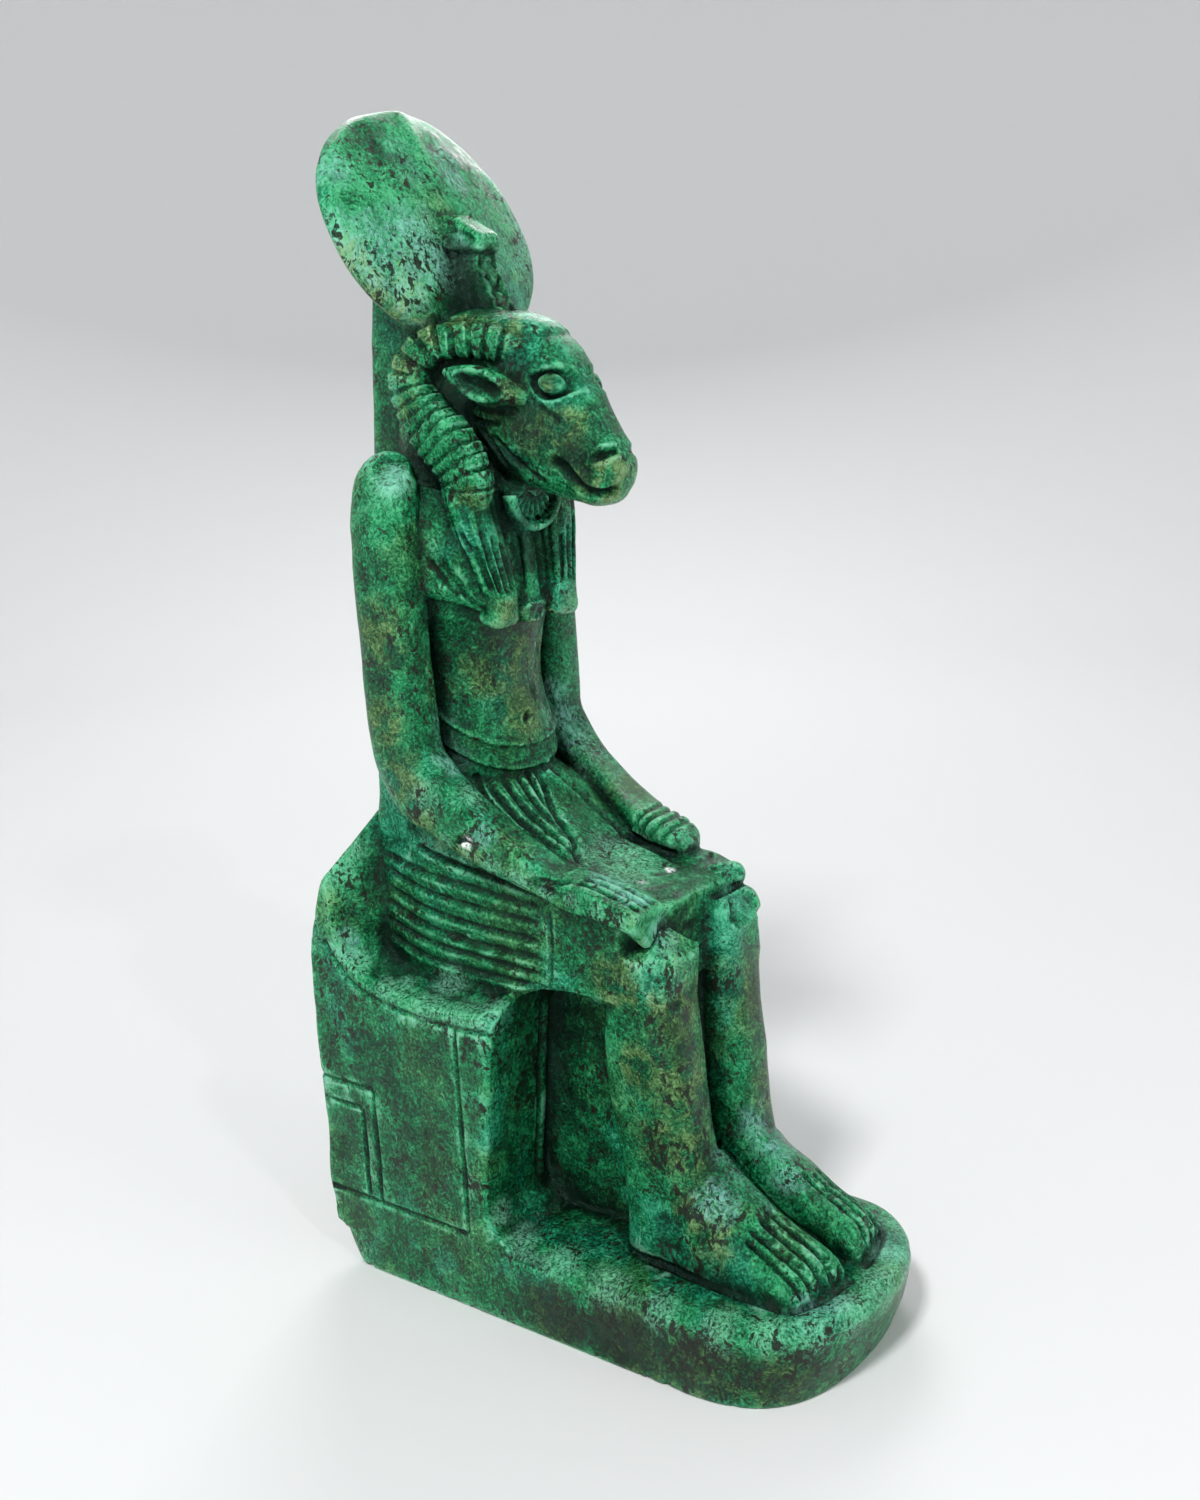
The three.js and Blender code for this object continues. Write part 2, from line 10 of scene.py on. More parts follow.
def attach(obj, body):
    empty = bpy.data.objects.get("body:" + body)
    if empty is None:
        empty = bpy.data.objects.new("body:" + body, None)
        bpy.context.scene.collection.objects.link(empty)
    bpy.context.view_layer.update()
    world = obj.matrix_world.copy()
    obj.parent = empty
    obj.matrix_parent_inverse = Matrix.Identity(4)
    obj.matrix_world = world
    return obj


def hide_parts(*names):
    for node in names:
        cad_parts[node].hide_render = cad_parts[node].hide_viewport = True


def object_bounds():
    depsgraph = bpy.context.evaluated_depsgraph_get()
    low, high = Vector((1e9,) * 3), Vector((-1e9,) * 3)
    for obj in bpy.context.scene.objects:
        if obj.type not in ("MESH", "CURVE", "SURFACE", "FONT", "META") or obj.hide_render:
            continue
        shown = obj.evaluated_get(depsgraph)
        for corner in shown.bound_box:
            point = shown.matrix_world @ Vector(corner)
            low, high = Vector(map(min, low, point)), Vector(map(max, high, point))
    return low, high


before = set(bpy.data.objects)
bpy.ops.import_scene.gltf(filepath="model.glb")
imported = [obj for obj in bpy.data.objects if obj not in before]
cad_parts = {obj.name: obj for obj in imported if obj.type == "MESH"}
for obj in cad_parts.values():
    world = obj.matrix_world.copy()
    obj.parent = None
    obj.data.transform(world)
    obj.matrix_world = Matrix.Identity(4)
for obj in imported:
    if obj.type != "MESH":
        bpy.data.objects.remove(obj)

# A ram-headed figure on a throne, carved with its base from one block of green stone.
# The figure's own measures are millimetres: x to its left, y from its front (minus) to its back,
# z up. Names with "right" belong to the figure's right side, which has minus x.

cadLow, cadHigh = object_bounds()
mm = 0.001
frontOfBase = -116.18  # in the figure's own y, which starts near the middle of the seat
shiftY = cadLow.y / mm - frontOfBase
started = time.time()


def report(stage):
    print(f"{time.time() - started:6.1f} s  {stage}")


def toFrame(places):
    return (np.asarray(places, float) + (0, shiftY, 0)) * mm


def fromFrame(places):
    return np.asarray(places, float) / mm - (0, shiftY, 0)


# Shaping: sections through stations, as a carver marks them on the block


def oval(angle, power):
    # a power of 2 is a circle, higher powers are squarer
    c, s = np.cos(angle), np.sin(angle)
    return np.sign(c) * abs(c) ** (2 / power), np.sign(s) * abs(s) ** (2 / power)


def refine(rows, steps, closed=False):
    # a smooth curve through the rows, with this many steps between each two
    rows = np.asarray(rows, float)
    if closed:
        before, after, later = np.roll(rows, 1, 0), np.roll(rows, -1, 0), np.roll(rows, -2, 0)
        here = rows
    else:
        padded = np.concatenate([rows[:1], rows, rows[-1:]])
        before, here, after, later = padded[:-3], padded[1:-2], padded[2:-1], padded[3:]
    t = (np.arange(steps) / steps).reshape((1, -1) + (1,) * (rows.ndim - 1))
    a, b, c, d = (x[:, None] for x in (before, here, after, later))
    fine = b + 0.5 * t * (c - a + t * (2 * a - 5 * b + 4 * c - d + t * (3 * b - a - 3 * c + d)))
    fine = fine.reshape((-1,) + rows.shape[1:])
    return fine if closed else np.concatenate([fine, rows[-1:]])


def blend(low, high, f):
    return low + (high - low) * f


def smoothStep(value, low, high):
    t = np.clip((value - low) / (high - low), 0, 1)
    return t * t * (3 - 2 * t)


def runAlong(line):
    return np.concatenate([[0], np.cumsum(np.linalg.norm(np.diff(line, axis=0), axis=1))])


def limb(rows, sides, steps=4, relief=None):
    # rows: x, y, z, half across, half through, squareness; sections square to the path
    rows = refine(rows, steps)
    centres = rows[:, :3]
    along = np.gradient(centres, axis=0)
    along /= np.linalg.norm(along, axis=1)[:, None]
    side = np.array([1.0, 0, 0]) - along * along[:, :1]
    side /= np.linalg.norm(side, axis=1)[:, None]
    up = np.cross(along, side)
    angle = 2 * np.pi * (np.arange(sides) + 0.5) / sides
    s, u = oval(angle[None, :], rows[:, 5:6])
    scale = np.ones_like(s) if relief is None else relief(centres, angle)
    s, u = s * scale * rows[:, 3:4], u * scale * rows[:, 4:5]
    return centres[:, None] + s[..., None] * side[:, None] + u[..., None] * up[:, None]


def stack(rows, sides):
    # rows: z, middle x, front y, rear y, half width, squareness; level sections
    rows = refine(rows, 4)
    z, x, front, rear, half, power = (rows[:, k:k + 1] for k in range(6))
    s, u = oval(2 * np.pi * (np.arange(sides) + 0.5)[None, :] / sides, power)
    return np.stack([x + s * half, (front + rear) / 2 - u * (rear - front) / 2, z + 0 * s], -1)


def deselectAll():
    for other in bpy.context.selected_objects:
        other.select_set(False)


forms = []


def addForm(rings):
    # a grid of faces is laid on the rings, its seam is welded and its two ends are filled
    rings = np.asarray(rings, float)
    rows, sides = rings.shape[:2]
    deselectAll()
    bpy.ops.mesh.primitive_grid_add(x_subdivisions=sides, y_subdivisions=rows - 1)
    form = bpy.context.object
    wall = np.concatenate([rings, rings[:, :1]], axis=1)
    form.data.vertices.foreach_set("co", toFrame(wall).ravel())
    bpy.ops.object.mode_set(mode="EDIT")
    bpy.ops.mesh.select_all(action="SELECT")
    bpy.ops.mesh.remove_doubles(threshold=1e-6)
    bpy.ops.mesh.fill_holes(sides=0)
    bpy.ops.mesh.select_all(action="SELECT")
    bpy.ops.mesh.normals_make_consistent(inside=False)
    bpy.ops.object.mode_set(mode="OBJECT")
    forms.append(form)


def addBoth(rings):
    # modelled on the right side and repeated on the left
    addForm(rings)
    addForm(rings * (-1, 1, 1))


def addPebble(centre, halves):
    deselectAll()
    bpy.ops.mesh.primitive_uv_sphere_add(segments=40, ring_count=24, radius=mm,
                                         location=tuple(toFrame(centre)), scale=halves)
    bpy.ops.object.transform_apply(location=True, rotation=True, scale=True)
    forms.append(bpy.context.object)


# Base: straight sides, a round front and a worn edge all round the top

base = {"halfWidth": 40, "halfDepth": 83.5, "middle": -33, "corner": 6, "roundness": 14,
        # front, rear, where the round front starts, how full it is; at the foot and at the top
        "low": (-110, 42, -76, 8), "high": (-116.5, 50.5, -84, 12),
        # z, share of the way from the low outline to the high one, inset
        "levels": [(0, 0, 0.9), (1, 0.1, 0.1), (9, 0.6, 0), (19, 0.95, 0), (21.2, 1, 1), (22.6, 1, 2.6),
                   (23.5, 1, 4.8), (24, 1, 9)],
        # the front edge is worn less than the rest: share of the inset, and where it changes
        "frontWear": 0.45, "wearChanges": (-104, -70)}


def curve(places, count):
    # from the first of these places to the last, pulled by those between, without its first point
    rows = []
    for s in np.linspace(0, 1, count + 1)[1:]:
        row = np.array(places, float)
        while len(row) > 1:
            row = blend(row[:-1], row[1:], s)
        rows.append(tuple(row[0]))
    return rows


def baseOutline(front, rear, frontStart, pull):
    wide, corner = base["halfWidth"], base["corner"]
    back = [(x, rear) for x in np.linspace(0, wide - corner, 7)]
    rearCorner = curve([(wide - corner, rear), (wide, rear), (wide, rear - corner)], 8)
    straight = curve([(wide, rear - corner), (wide, frontStart)], 16)
    roundFront = curve([(wide, frontStart), (wide, front + pull), (wide - base["roundness"], front),
                        (0, front)], 32)
    half = back + rearCorner + straight + roundFront
    return np.array(half + [(-x, y) for x, y in half[-2:0:-1]])


def modelBase():
    low, high = baseOutline(*base["low"]), baseOutline(*base["high"])
    rings = []
    for z, grown, inset in refine(base["levels"], 3):
        outline = blend(low, high, min(grown, 1))
        worn = max(inset, 0) * blend(base["frontWear"], 1, smoothStep(outline[:, 1], *base["wearChanges"]))
        x = outline[:, 0] * (1 - worn / base["halfWidth"])
        y = base["middle"] + (outline[:, 1] - base["middle"]) * (1 - worn / base["halfDepth"])
        rings.append(np.stack([x, y, np.full_like(x, z)], -1))
    addForm(rings)


# Throne: a block seat whose low back rises from its outer ends to the figure

throne = {"front": -18.7, "frontLow": -12.3, "rear": 51.2, "foot": 20, "footRear": 42,
          "seatRim": 91, "seatInner": 95.5, "wingTop": 122, "backTop": 141,
          # over this width from its outer side the back leans and rises to the figure
          "rise": 15, "lean": 11, "middle": (30, 66),
          # x and how far the section is drawn in there
          "stations": [(40, 1.5), (39.6, 0.6), (38.9, 0), (36, 0), (33, 0), (30, 0), (27, 0), (25, 0),
                       (12, 0)]}


def throneSection(x, inset):
    inward = min(max((base["halfWidth"] - abs(x)) / throne["rise"], 0), 1)
    ledge = blend(throne["seatRim"], throne["seatInner"], inward)
    top = blend(throne["wingTop"], throne["backTop"], inward)
    lean = throne["lean"] * inward
    front, low, rear, foot = throne["front"], throne["frontLow"], throne["rear"], throne["foot"]
    # y and z, from the foot of the front up over the seat and down the back
    section = refine([
        (low - 4, foot), (low - 3, 27), (low, 34), (low - 2.4, 60), (front + 1, ledge - 5), (front, ledge),
        (front + 2, ledge + 1.5), (front + 8, ledge), (8, ledge - 0.5), (20, ledge + 0.5),
        (30, ledge + 3.6), (37 - lean / 2, ledge + 9), (40.5 - lean, ledge + 18), (41.5 - lean, top - 3),
        (43 - lean, top), (46 - lean, top - 4.5), (49 - lean / 2, 106 + 6 * inward), (rear - 0.5, 96),
        (rear, 82), (rear - 0.7, 45), (rear - 1.2, foot - 1), (throne["footRear"], foot - 10)], 6, True)
    middle = np.array(throne["middle"])
    away = np.linalg.norm(section - middle, axis=1)[:, None]
    section = middle + (section - middle) * (1 - inset / away)
    return np.column_stack([np.full(len(section), x), section])


def modelThrone():
    stations = throne["stations"] + [(-x, inset) for x, inset in throne["stations"][::-1]]
    addForm([throneSection(x, inset) for x, inset in stations])


# The stone left standing: behind the calves, behind the head, and between arms and body

web = {"legs": [(-9, 11.6), (-20, 10), (-57, 9)],  # y and half width, from the throne to the calves
       "legsHeight": (20, 108),
       "pillar": [(100, 0, 20, 46, 17, 6), (145, 0, 20, 41, 15, 6), (237, 0, 14, 38, 13, 6),
                  (272, 0, 16, 36, 12, 6), (296, 0, 22, 35, 10, 5)],
       "arms": [(118, 0, 22, 40, 25, 6), (146, 0, 14, 32, 28, 6), (200, 0, 12, 27, 28, 6),
                (228, 0, 13, 26, 26, 6), (236, 0, 16, 26, 20, 5)]}


def modelWebs():
    low, high = web["legsHeight"]
    addForm([[(-half, y, low), (half, y, low), (half, y, high), (-half, y, high)] for y, half in web["legs"]])
    addForm(stack(web["pillar"], sides=48))
    addForm(stack(web["arms"], sides=48))


# Lap: kilt and thighs in one

lap = {"upperEdge": (1.2, 2.4), "lowerEdge": (1.6, 2),  # how far in and down, or in and up, they are cut
       # y, half width, underside, top at the edge, top in the middle
       "stations": [(36, 26, 88, 130, 146), (8, 29, 91, 138, 155), (-6, 29, 92, 136, 150.5),
                    (-15, 28.8, 93, 132.5, 141), (-24, 28.7, 97, 129.6, 134),
                    (-30, 28.6, 98.5, 127, 130.5), (-53, 27, 97, 121.4, 124.5),
                    (-59, 25, 99.6, 119, 122.5)]}


def lapHeight(x, half, edge, top):
    return top - (top - edge) * (np.abs(x) / half) ** 3


def modelLap():
    rings = []
    inAbove, down = lap["upperEdge"]
    inBelow, up = lap["lowerEdge"]
    for y, half, under, edge, top in refine(lap["stations"], 6):
        across = np.linspace(half - inAbove, inAbove - half, 41)
        upper = np.column_stack([across, lapHeight(across, half, edge, top)])
        rise = np.linspace(under + up, edge - down, 12)
        left = np.column_stack([np.full(12, half), rise])
        right = np.column_stack([np.full(12, -half), rise[::-1]])
        below = np.linspace(inBelow - half, half - inBelow, 20)
        lower = np.column_stack([below, np.full(20, under)])
        ring = np.concatenate([left, upper, right, lower])
        rings.append(np.column_stack([ring[:, 0], np.full(len(ring), y), ring[:, 1]]))
    addForm(rings)


# Legs: blocky knees, straight shins, and long flat feet

leg = {"shin": [(118.8, -16, -62.6, -54, 7.4, 3), (117.4, -16, -64.6, -52.6, 10, 3.4),
                (113.4, -16.2, -66, -52, 11.2, 3.6), (107, -16.2, -66.6, -49.6, 11.6, 3.4),
                (101, -16.2, -66.6, -46.6, 11.2, 3.2), (95, -15.9, -66.8, -44, 10.6, 3),
                (80, -15.4, -68.4, -42.6, 10, 3), (58, -14.8, -70.8, -44, 9.4, 2.9),
                (38, -14.4, -73.5, -46.4, 9.6, 2.8), (20, -14.4, -74, -47, 10.4, 2.8)],
       # y, inner x, outer x, height at the inner side, height at the outer side
       "foot": [(-47.5, -8, -20, 34, 33), (-57, -5.4, -23.6, 47, 42), (-69, -5, -24.5, 54, 46),
                (-76, -4.6, -24.7, 49.5, 41.5), (-88, -4, -25, 41, 36), (-99, -3.6, -25, 35.5, 31.5),
                (-103.5, -3.6, -24.5, 32.4, 29.2), (-106, -4.6, -23, 28.5, 26.5)]}


def modelLegs():
    addBoth(stack(leg["shin"], sides=48))
    rings = []
    for y, inner, outer, high, low in refine(leg["foot"], 5):
        section = refine([(0, 20), (0, (high + 24) / 2), (0.08, high - 2), (0.3, high),
                          (0.65, (high + low) / 2 + 0.6), (0.92, low - 0.8), (1, (low + 24) / 2), (1, 20)], 5)
        f = np.clip(section[:, 0], 0, 1)
        # towards the toes the outer side falls behind the inner one
        behind = 3 * f if y < -95 else 3 * f * smoothStep(-y, 80, 95)
        rings.append(np.column_stack([blend(inner, outer, f), y + behind, section[:, 1]]))
    addBoth(np.array(rings))


# Body: narrow waist, flat chest with an overhanging lower edge, and a broad tilted belt

body = {"torso": [(146, 0, -5, 34, 22, 2.3), (160, 0, -6.6, 34, 21.3, 2.3), (176, 0, -3.2, 34, 20.2, 2.3),
                  (190, 0, -3, 34, 22.5, 2.4), (203, 0, -4.5, 34, 27, 2.5), (224, 0, -1.4, 34, 31, 2.6),
                  (236, 0, 6, 33, 28, 2.4), (240, 0, 12, 30, 21, 2.2)],
        "chestEdge": [(-29.5, 10, 208), (-28, 3.6, 206.5), (-22, -3.2, 203), (-14, -7, 198.5),
                      (0, -7.6, 198)],
        # how high above the edge, how far back, how level
        "chest": [(-1.4, 1.6, 0.6), (0, 0, 0), (4, 0.1, 0.1), (9, 0.4, 0.2), (20, 3, 0.55), (29, 8, 0.8)],
        # how far above the belt's middle line, how far it stands out there
        "belt": [(-4.4, -1.2), (-4, 0.2), (-3.4, 0.6), (-2.6, 0.1), (-2, 0), (2, 0), (2.6, 0.1), (3.4, 0.7),
                 (4, 0.2), (4.4, -1.2)],
        "beltHalves": (21.6, 19.6), "beltMiddle": 13, "beltFront": -7, "beltHeight": 156.4,
        "beltSlope": 0.62, "chestRear": 24, "chestFloor": (202, 206)}


def modelBody():
    addForm(stack(body["torso"], sides=72))
    edge = refine(body["chestEdge"], 5)
    full = np.concatenate([edge, edge[-2::-1] * (-1, 1, 1)])
    rings = []
    rear = body["chestRear"]
    even, rearFloor = body["chestFloor"]
    for up, back, level in refine(body["chest"], 3):
        x, y, z = full.T
        front = np.column_stack([x * (1 - back * 0.01), y + back * (1 - abs(x) * 0.01),
                                 blend(z, even, level * 0.4) + up])
        rings.append(np.concatenate([front, [(rear, rear, rearFloor + up), (-rear, rear, rearFloor + up)]]))
    addForm(rings)
    s, u = oval(2 * np.pi * np.arange(96) / 96, 2.3)
    wide, deep = body["beltHalves"]
    rings = []
    for rise, proud in body["belt"]:
        y = body["beltMiddle"] - u * (deep + proud)
        z = body["beltHeight"] + rise + body["beltSlope"] * (y - body["beltFront"])
        rings.append(np.column_stack([s * (wide + proud), y, z]))
    addForm(rings)


# Arms: the right hand lies flat, the left is closed on a short folded cloth

upperArm = [(-24.5, 14.4, 239, 4, 5, 2), (-28.4, 14.4, 236.4, 7.4, 7.8, 2.4),
            (-31.4, 14.4, 228, 8.3, 9, 2.6), (-31.9, 14.2, 206, 8.1, 9.3, 2.9), (-32.3, 13, 174, 7.6, 9.2, 3)]
arm = {"resting": upperArm + [
           (-31.8, 11.5, 160, 7.5, 9.4, 3), (-31.3, 6.5, 152, 7.5, 9.8, 3), (-30.6, -1, 146.5, 7.4, 8.4, 3),
           (-29.2, -13, 139.5, 6.9, 6.6, 3.4), (-26.6, -31, 130.4, 6, 4.5, 4),
           (-24.8, -39.5, 127.4, 6.9, 4, 7), (-24.2, -46, 126.4, 7.3, 3.5, 9),
           (-23.4, -55, 124.2, 7.4, 3.1, 9), (-23.2, -60, 122.7, 7, 2.8, 9),
           (-23.2, -61.4, 122.4, 6.2, 2.2, 8)],
       "fist": upperArm + [
           (-31.8, 11.8, 161, 7.5, 8.4, 3), (-31, 6, 151.8, 7.4, 8, 3), (-30, -3, 144.6, 7.2, 6.6, 3),
           (-27.6, -17, 136.6, 6.4, 5.6, 3), (-24.2, -28, 132.6, 7.6, 5.9, 2.6),
           (-22.8, -35.5, 130.4, 8.2, 5.9, 2.6), (-22, -41.5, 128.2, 7, 5.2, 2.4),
           (-21.8, -44.5, 127, 4, 3, 2.2)],
       "cloth": [(21, -36, 123.2, 6, 3.2, 5), (21.4, -44, 122.8, 6.8, 3.6, 5), (21.4, -50, 122, 6.8, 3.6, 5),
                 (21.8, -56, 120.8, 5.2, 3, 4)],
       # rounded ends of the cloth: centre and half sizes
       "clothEnds": [((23.4, -56.6, 121), (4.4, 3.8, 3.8)), ((20.2, -53.4, 122.6), (3.6, 3.4, 3))]}


def modelArms():
    addForm(limb(arm["resting"], sides=48))
    addForm(limb(arm["fist"], sides=48) * (-1, 1, 1))
    addForm(limb(arm["cloth"], sides=32))
    for centre, halves in arm["clothEnds"]:
        addPebble(centre, halves)


# Head of a ram: a wedge that falls from the brow to a blunt muzzle

head = {"stations": [  # y and z of the top, y and z of the bottom, half width, squareness
            (6, 276, 13, 240, 15.5, 2.3), (-8, 275.5, 0, 236, 15.2, 2.4), (-15, 274, -8, 233, 14.4, 2.5),
            (-21, 272, -15, 231, 13.2, 2.6), (-26.5, 267.6, -20.5, 229.4, 11.8, 2.7),
            (-31, 260.4, -25.5, 228, 10.6, 2.7), (-35, 252.6, -30, 227, 9.3, 2.7),
            (-38.6, 246.8, -33.4, 226.2, 8.6, 2.7), (-41.2, 243.6, -36.8, 226.4, 8.2, 2.6),
            (-42.4, 241, -39.2, 227.4, 7.2, 2.3), (-43, 239.2, -40.8, 229, 5.6, 2.1),
            (-43.4, 237.2, -42.2, 231.8, 3.2, 2)],
        "wig": [(200, 0, -3, 20, 14, 2.4), (222, 0, -6.6, 26, 18, 2.4), (240, 0, -7.6, 28, 20, 2.4),
                (256, 0, -6, 25, 19, 2.4), (270, 0, -9, 20, 16, 2.2), (277, 0, -6, 18, 10, 2.2)],
        "crown": [(0, -22.6, 267.6, 4, 2, 2.2), (0, -18.4, 270.2, 8.6, 4.2, 2.2),
                  (0, -10, 272.3, 12.4, 5.4, 2.4), (0, 2, 273.2, 15.5, 6, 2.4), (0, 13, 270, 14, 6, 2.4)],
        "ear": [(-12, -20.5, 254.4, 1.6, 1.9, 2), (-15.4, -16, 257, 2.6, 3.9, 2.2),
                (-19.2, -11, 259.4, 2.8, 4.5, 2.2), (-22.2, -6.4, 261.4, 2.2, 3.2, 2),
                (-24.2, -2.8, 262.8, 0.6, 0.8, 2)]}
horn = {"path": [(-7.5, -17.5, 265.2, 3, 3.2, 2.6), (-11, -11.8, 268.8, 4.8, 4.6, 3.2),
                 (-14.8, -3.6, 270.4, 5, 4.8, 3.4), (-18.4, 6, 268.8, 5, 5, 3.4), (-21, 11, 261, 5, 5.6, 3.4),
                 (-21.4, 6.6, 251.4, 4.7, 6.8, 3.4), (-21.4, -0.8, 243.4, 4.4, 7.6, 3.4),
                 (-20.2, -6.4, 235, 4, 6, 3.2), (-19.4, -7.8, 230, 3.4, 4.2, 3),
                 (-18.8, -8, 226.8, 1.8, 2, 2.6)],
        # ribs: length over the top and down the side, how far along the horn that changes, and the
        # cut between two, its depth a share of the horn's thickness and its width a share of a rib
        "pitch": (4.3, 3.5), "turn": 37, "cut": 0.36, "width": 0.15,
        # how far the ribs slant over the top and down the side, and where that changes
        "slant": (0.1, -0.3), "slantChanges": (28, 46), "uneven": 0.06, "crest": 0.07}


def modelHead():
    angle = 2 * np.pi * (np.arange(56) + 0.5) / 56
    rings = []
    for topY, topZ, lowY, lowZ, half, power in refine(head["stations"], 5):
        s, u = oval(angle, power)
        f = (1 + u) / 2
        rings.append(np.column_stack([s * half, blend(lowY, topY, f), blend(lowZ, topZ, f)]))
    addForm(rings)
    addForm(stack(head["wig"], sides=64))
    addForm(limb(head["crown"], sides=48))
    addBoth(limb(head["ear"], sides=32))


def hornRibs(centres, angle):
    # broad flat ribs with a narrow cut before each, wider over the top than down the side
    run = runAlong(centres)
    wide, narrow = horn["pitch"]
    turns = np.where(run < horn["turn"], run / wide, horn["turn"] / wide + (run - horn["turn"]) / narrow)
    slant = blend(*horn["slant"], smoothStep(run, *horn["slantChanges"]))
    uneven = horn["uneven"] * np.sin(2.3 * turns)
    phase = (turns[:, None] + slant[:, None] * np.sin(angle)[None, :] + uneven[:, None]) % 1
    notch = np.clip(1 - np.abs(phase - 0.5) / horn["width"], 0, 1) ** 0.8
    crest = horn["crest"] * np.clip(1 - 5 * np.abs((phase + 0.78) % 1 - 0.5), 0, 1)
    fade = smoothStep(run[-1] - run, 1, 6)[:, None]
    return 1.02 + fade * (crest - horn["cut"] * notch)


def modelHorns():
    addBoth(limb(horn["path"], sides=48, steps=18, relief=hornRibs))


# Throat: a fan of ribs above a raised rim, a strip that ends in an oval, and the wig's lappets

throat = {"fan": [(0, -2, 233, 8, 8, 2.4), (0, -8.5, 230.4, 9.2, 8.8, 2.4),
                  (0, -12.4, 229.2, 7.6, 7, 2.4)],
          "ribs": 12, "ribDepth": 0.085, "lappetRibs": 8, "lappetRibDepth": 0.16,
          "rim": (9.6, 8.6), "rimMiddle": (-10.9, 229.2),
          "strip": [(194, 0, -9.4, 2, 4.4, 2.4), (196, 0, -10.6, 2, 5.4, 2.4), (199, 0, -11, 2, 5.6, 2.4),
                    (203, 0, -10, 2, 3.8, 3), (224, 0, -7.6, 2, 3.4, 3)],
          "lappet": [(-12.5, 4, 247, 5, 5, 2.6), (-17.4, -3, 229, 6.8, 5.2, 2.8),
                     (-14.9, -6.3, 213, 5.8, 4.4, 3), (-13.2, -7.8, 204, 5, 4, 3),
                     (-13.1, -7.8, 200, 5.1, 3.8, 3.4), (-13.2, -7.6, 197, 5.4, 3.8, 4),
                     (-13.2, -7.2, 195.6, 5, 3.2, 4)]}


def fanRibs(centres, angle):
    wave = 1 - np.cos(throat["ribs"] * angle)
    return 1 - throat["ribDepth"] * wave * smoothStep(-centres[:, 1:2], 3, 8)


def lappetRibs(centres, angle):
    wave = np.clip(-np.cos(throat["lappetRibs"] * angle) - 0.1, 0, 1)
    return 1 - throat["lappetRibDepth"] * wave * smoothStep(centres[:, 2:3], 200, 206)


def modelThroat():
    addForm(limb(throat["fan"], sides=96, steps=5, relief=fanRibs))
    turn = np.pi * np.linspace(0.98, 2.02, 28)
    across, down = throat["rim"]
    y, z = throat["rimMiddle"]
    rim = [(across * math.cos(t), y, z + down * math.sin(t), 1.5, 2.3, 2.4) for t in turn]
    addForm(limb(rim, sides=20, steps=1))
    addForm(stack(throat["strip"], sides=32))
    addBoth(limb(throat["lappet"], sides=56, steps=6, relief=lappetRibs))


# Sun disc leaning back, with a soft upright ridge, and the cobra that rears in front of it

disc = {"centre": (0, 19, 300.5), "half": (39, 34.6), "lean": math.radians(23),
        # the face falls off to both sides by this much, and the ridge stands up this much above it
        "fall": 1.4, "ridge": 0.9, "ridgeWidth": 0.09,
        # share of the full size, how far before the middle of the rim, share of the ridge
        "rings": [(0.02, 7.8, 0.7), (0.2, 7.6, 0.8), (0.4, 6.9, 0.9), (0.6, 5.7, 1), (0.78, 4.3, 1),
                  (0.9, 3.1, 1), (0.955, 2.3, 1), (0.972, 1.7, 1), (0.985, 0.7, 1), (1, -0.6, 0.9),
                  (0.99, -1.8, 0.5), (0.965, -2.8, 0.2), (0.9, -3.6, 0), (0.55, -5.4, 0), (0.02, -6, 0)]}
cobra = {"body": [(264, 0, -10.5, 14, 4.8, 8), (276, 0, -6.8, 14, 4.6, 8), (286, 0, -2.2, 16, 4.5, 8),
                  (292, 0, 0.8, 18, 4.4, 8)],
         "head": [(291, 0, 0.8, 18, 4.3, 8), (292.4, 0, -0.8, 18, 4.9, 8), (297.4, 0, -1.2, 20, 4.9, 7),
                  (300, 0, 2.2, 22, 4.7, 6), (304, 0, 8.6, 24, 4, 5)]}


def modelDisc():
    lean = disc["lean"]
    up = np.array([0, math.sin(lean), math.cos(lean)])
    out = np.array([0, -math.cos(lean), math.sin(lean)])
    s, u = oval(2 * np.pi * np.arange(128) / 128, 2)
    rings = []
    for share, bulge, ridge in refine(disc["rings"], 3):
        crest = disc["ridge"] * np.exp(-(s * share / disc["ridgeWidth"]) ** 2) * (u > 0)
        slope = ridge * (disc["fall"] * (0.5 - np.abs(s)) + crest) * share
        rings.append(np.array(disc["centre"]) + np.outer(s * disc["half"][0] * share, (1, 0, 0))
                     + np.outer(u * disc["half"][1] * share, up) + np.outer(bulge + slope, out))
    addForm(rings)
    addForm(stack(cobra["body"], sides=40))
    addForm(stack(cobra["head"], sides=40))


for model in (modelBase, modelThrone, modelWebs, modelLap, modelLegs, modelBody, modelArms, modelHead,
              modelHorns, modelThroat, modelDisc):
    model()
report(f"{len(forms)} forms blocked out")


# The forms become one block of stone

stone = {"grain": 0.43, "soften": 2, "triangles": 194000}

deselectAll()
for form in forms:
    form.select_set(True)
bpy.context.view_layer.objects.active = forms[0]
bpy.ops.object.join()
statue = bpy.context.object
statue.name = statue.data.name = "carved_statue"


def applyModifier(name, kind, **settings):
    modifier = statue.modifiers.new(name, kind)
    for key, value in settings.items():
        setattr(modifier, key, value)
    bpy.ops.object.modifier_apply(modifier=name)


def readPoints():
    flat = np.empty(len(statue.data.vertices) * 3, np.float32)
    statue.data.vertices.foreach_get("co", flat)
    return fromFrame(flat.reshape(-1, 3))


def readNormals():
    flat = np.empty(len(statue.data.vertices) * 3, np.float32)
    statue.data.vertex_normals.foreach_get("vector", flat)
    return flat.reshape(-1, 3).astype(float)


def writePoints():
    statue.data.vertices.foreach_set("co", toFrame(points).astype(np.float32).ravel())
    statue.data.update()


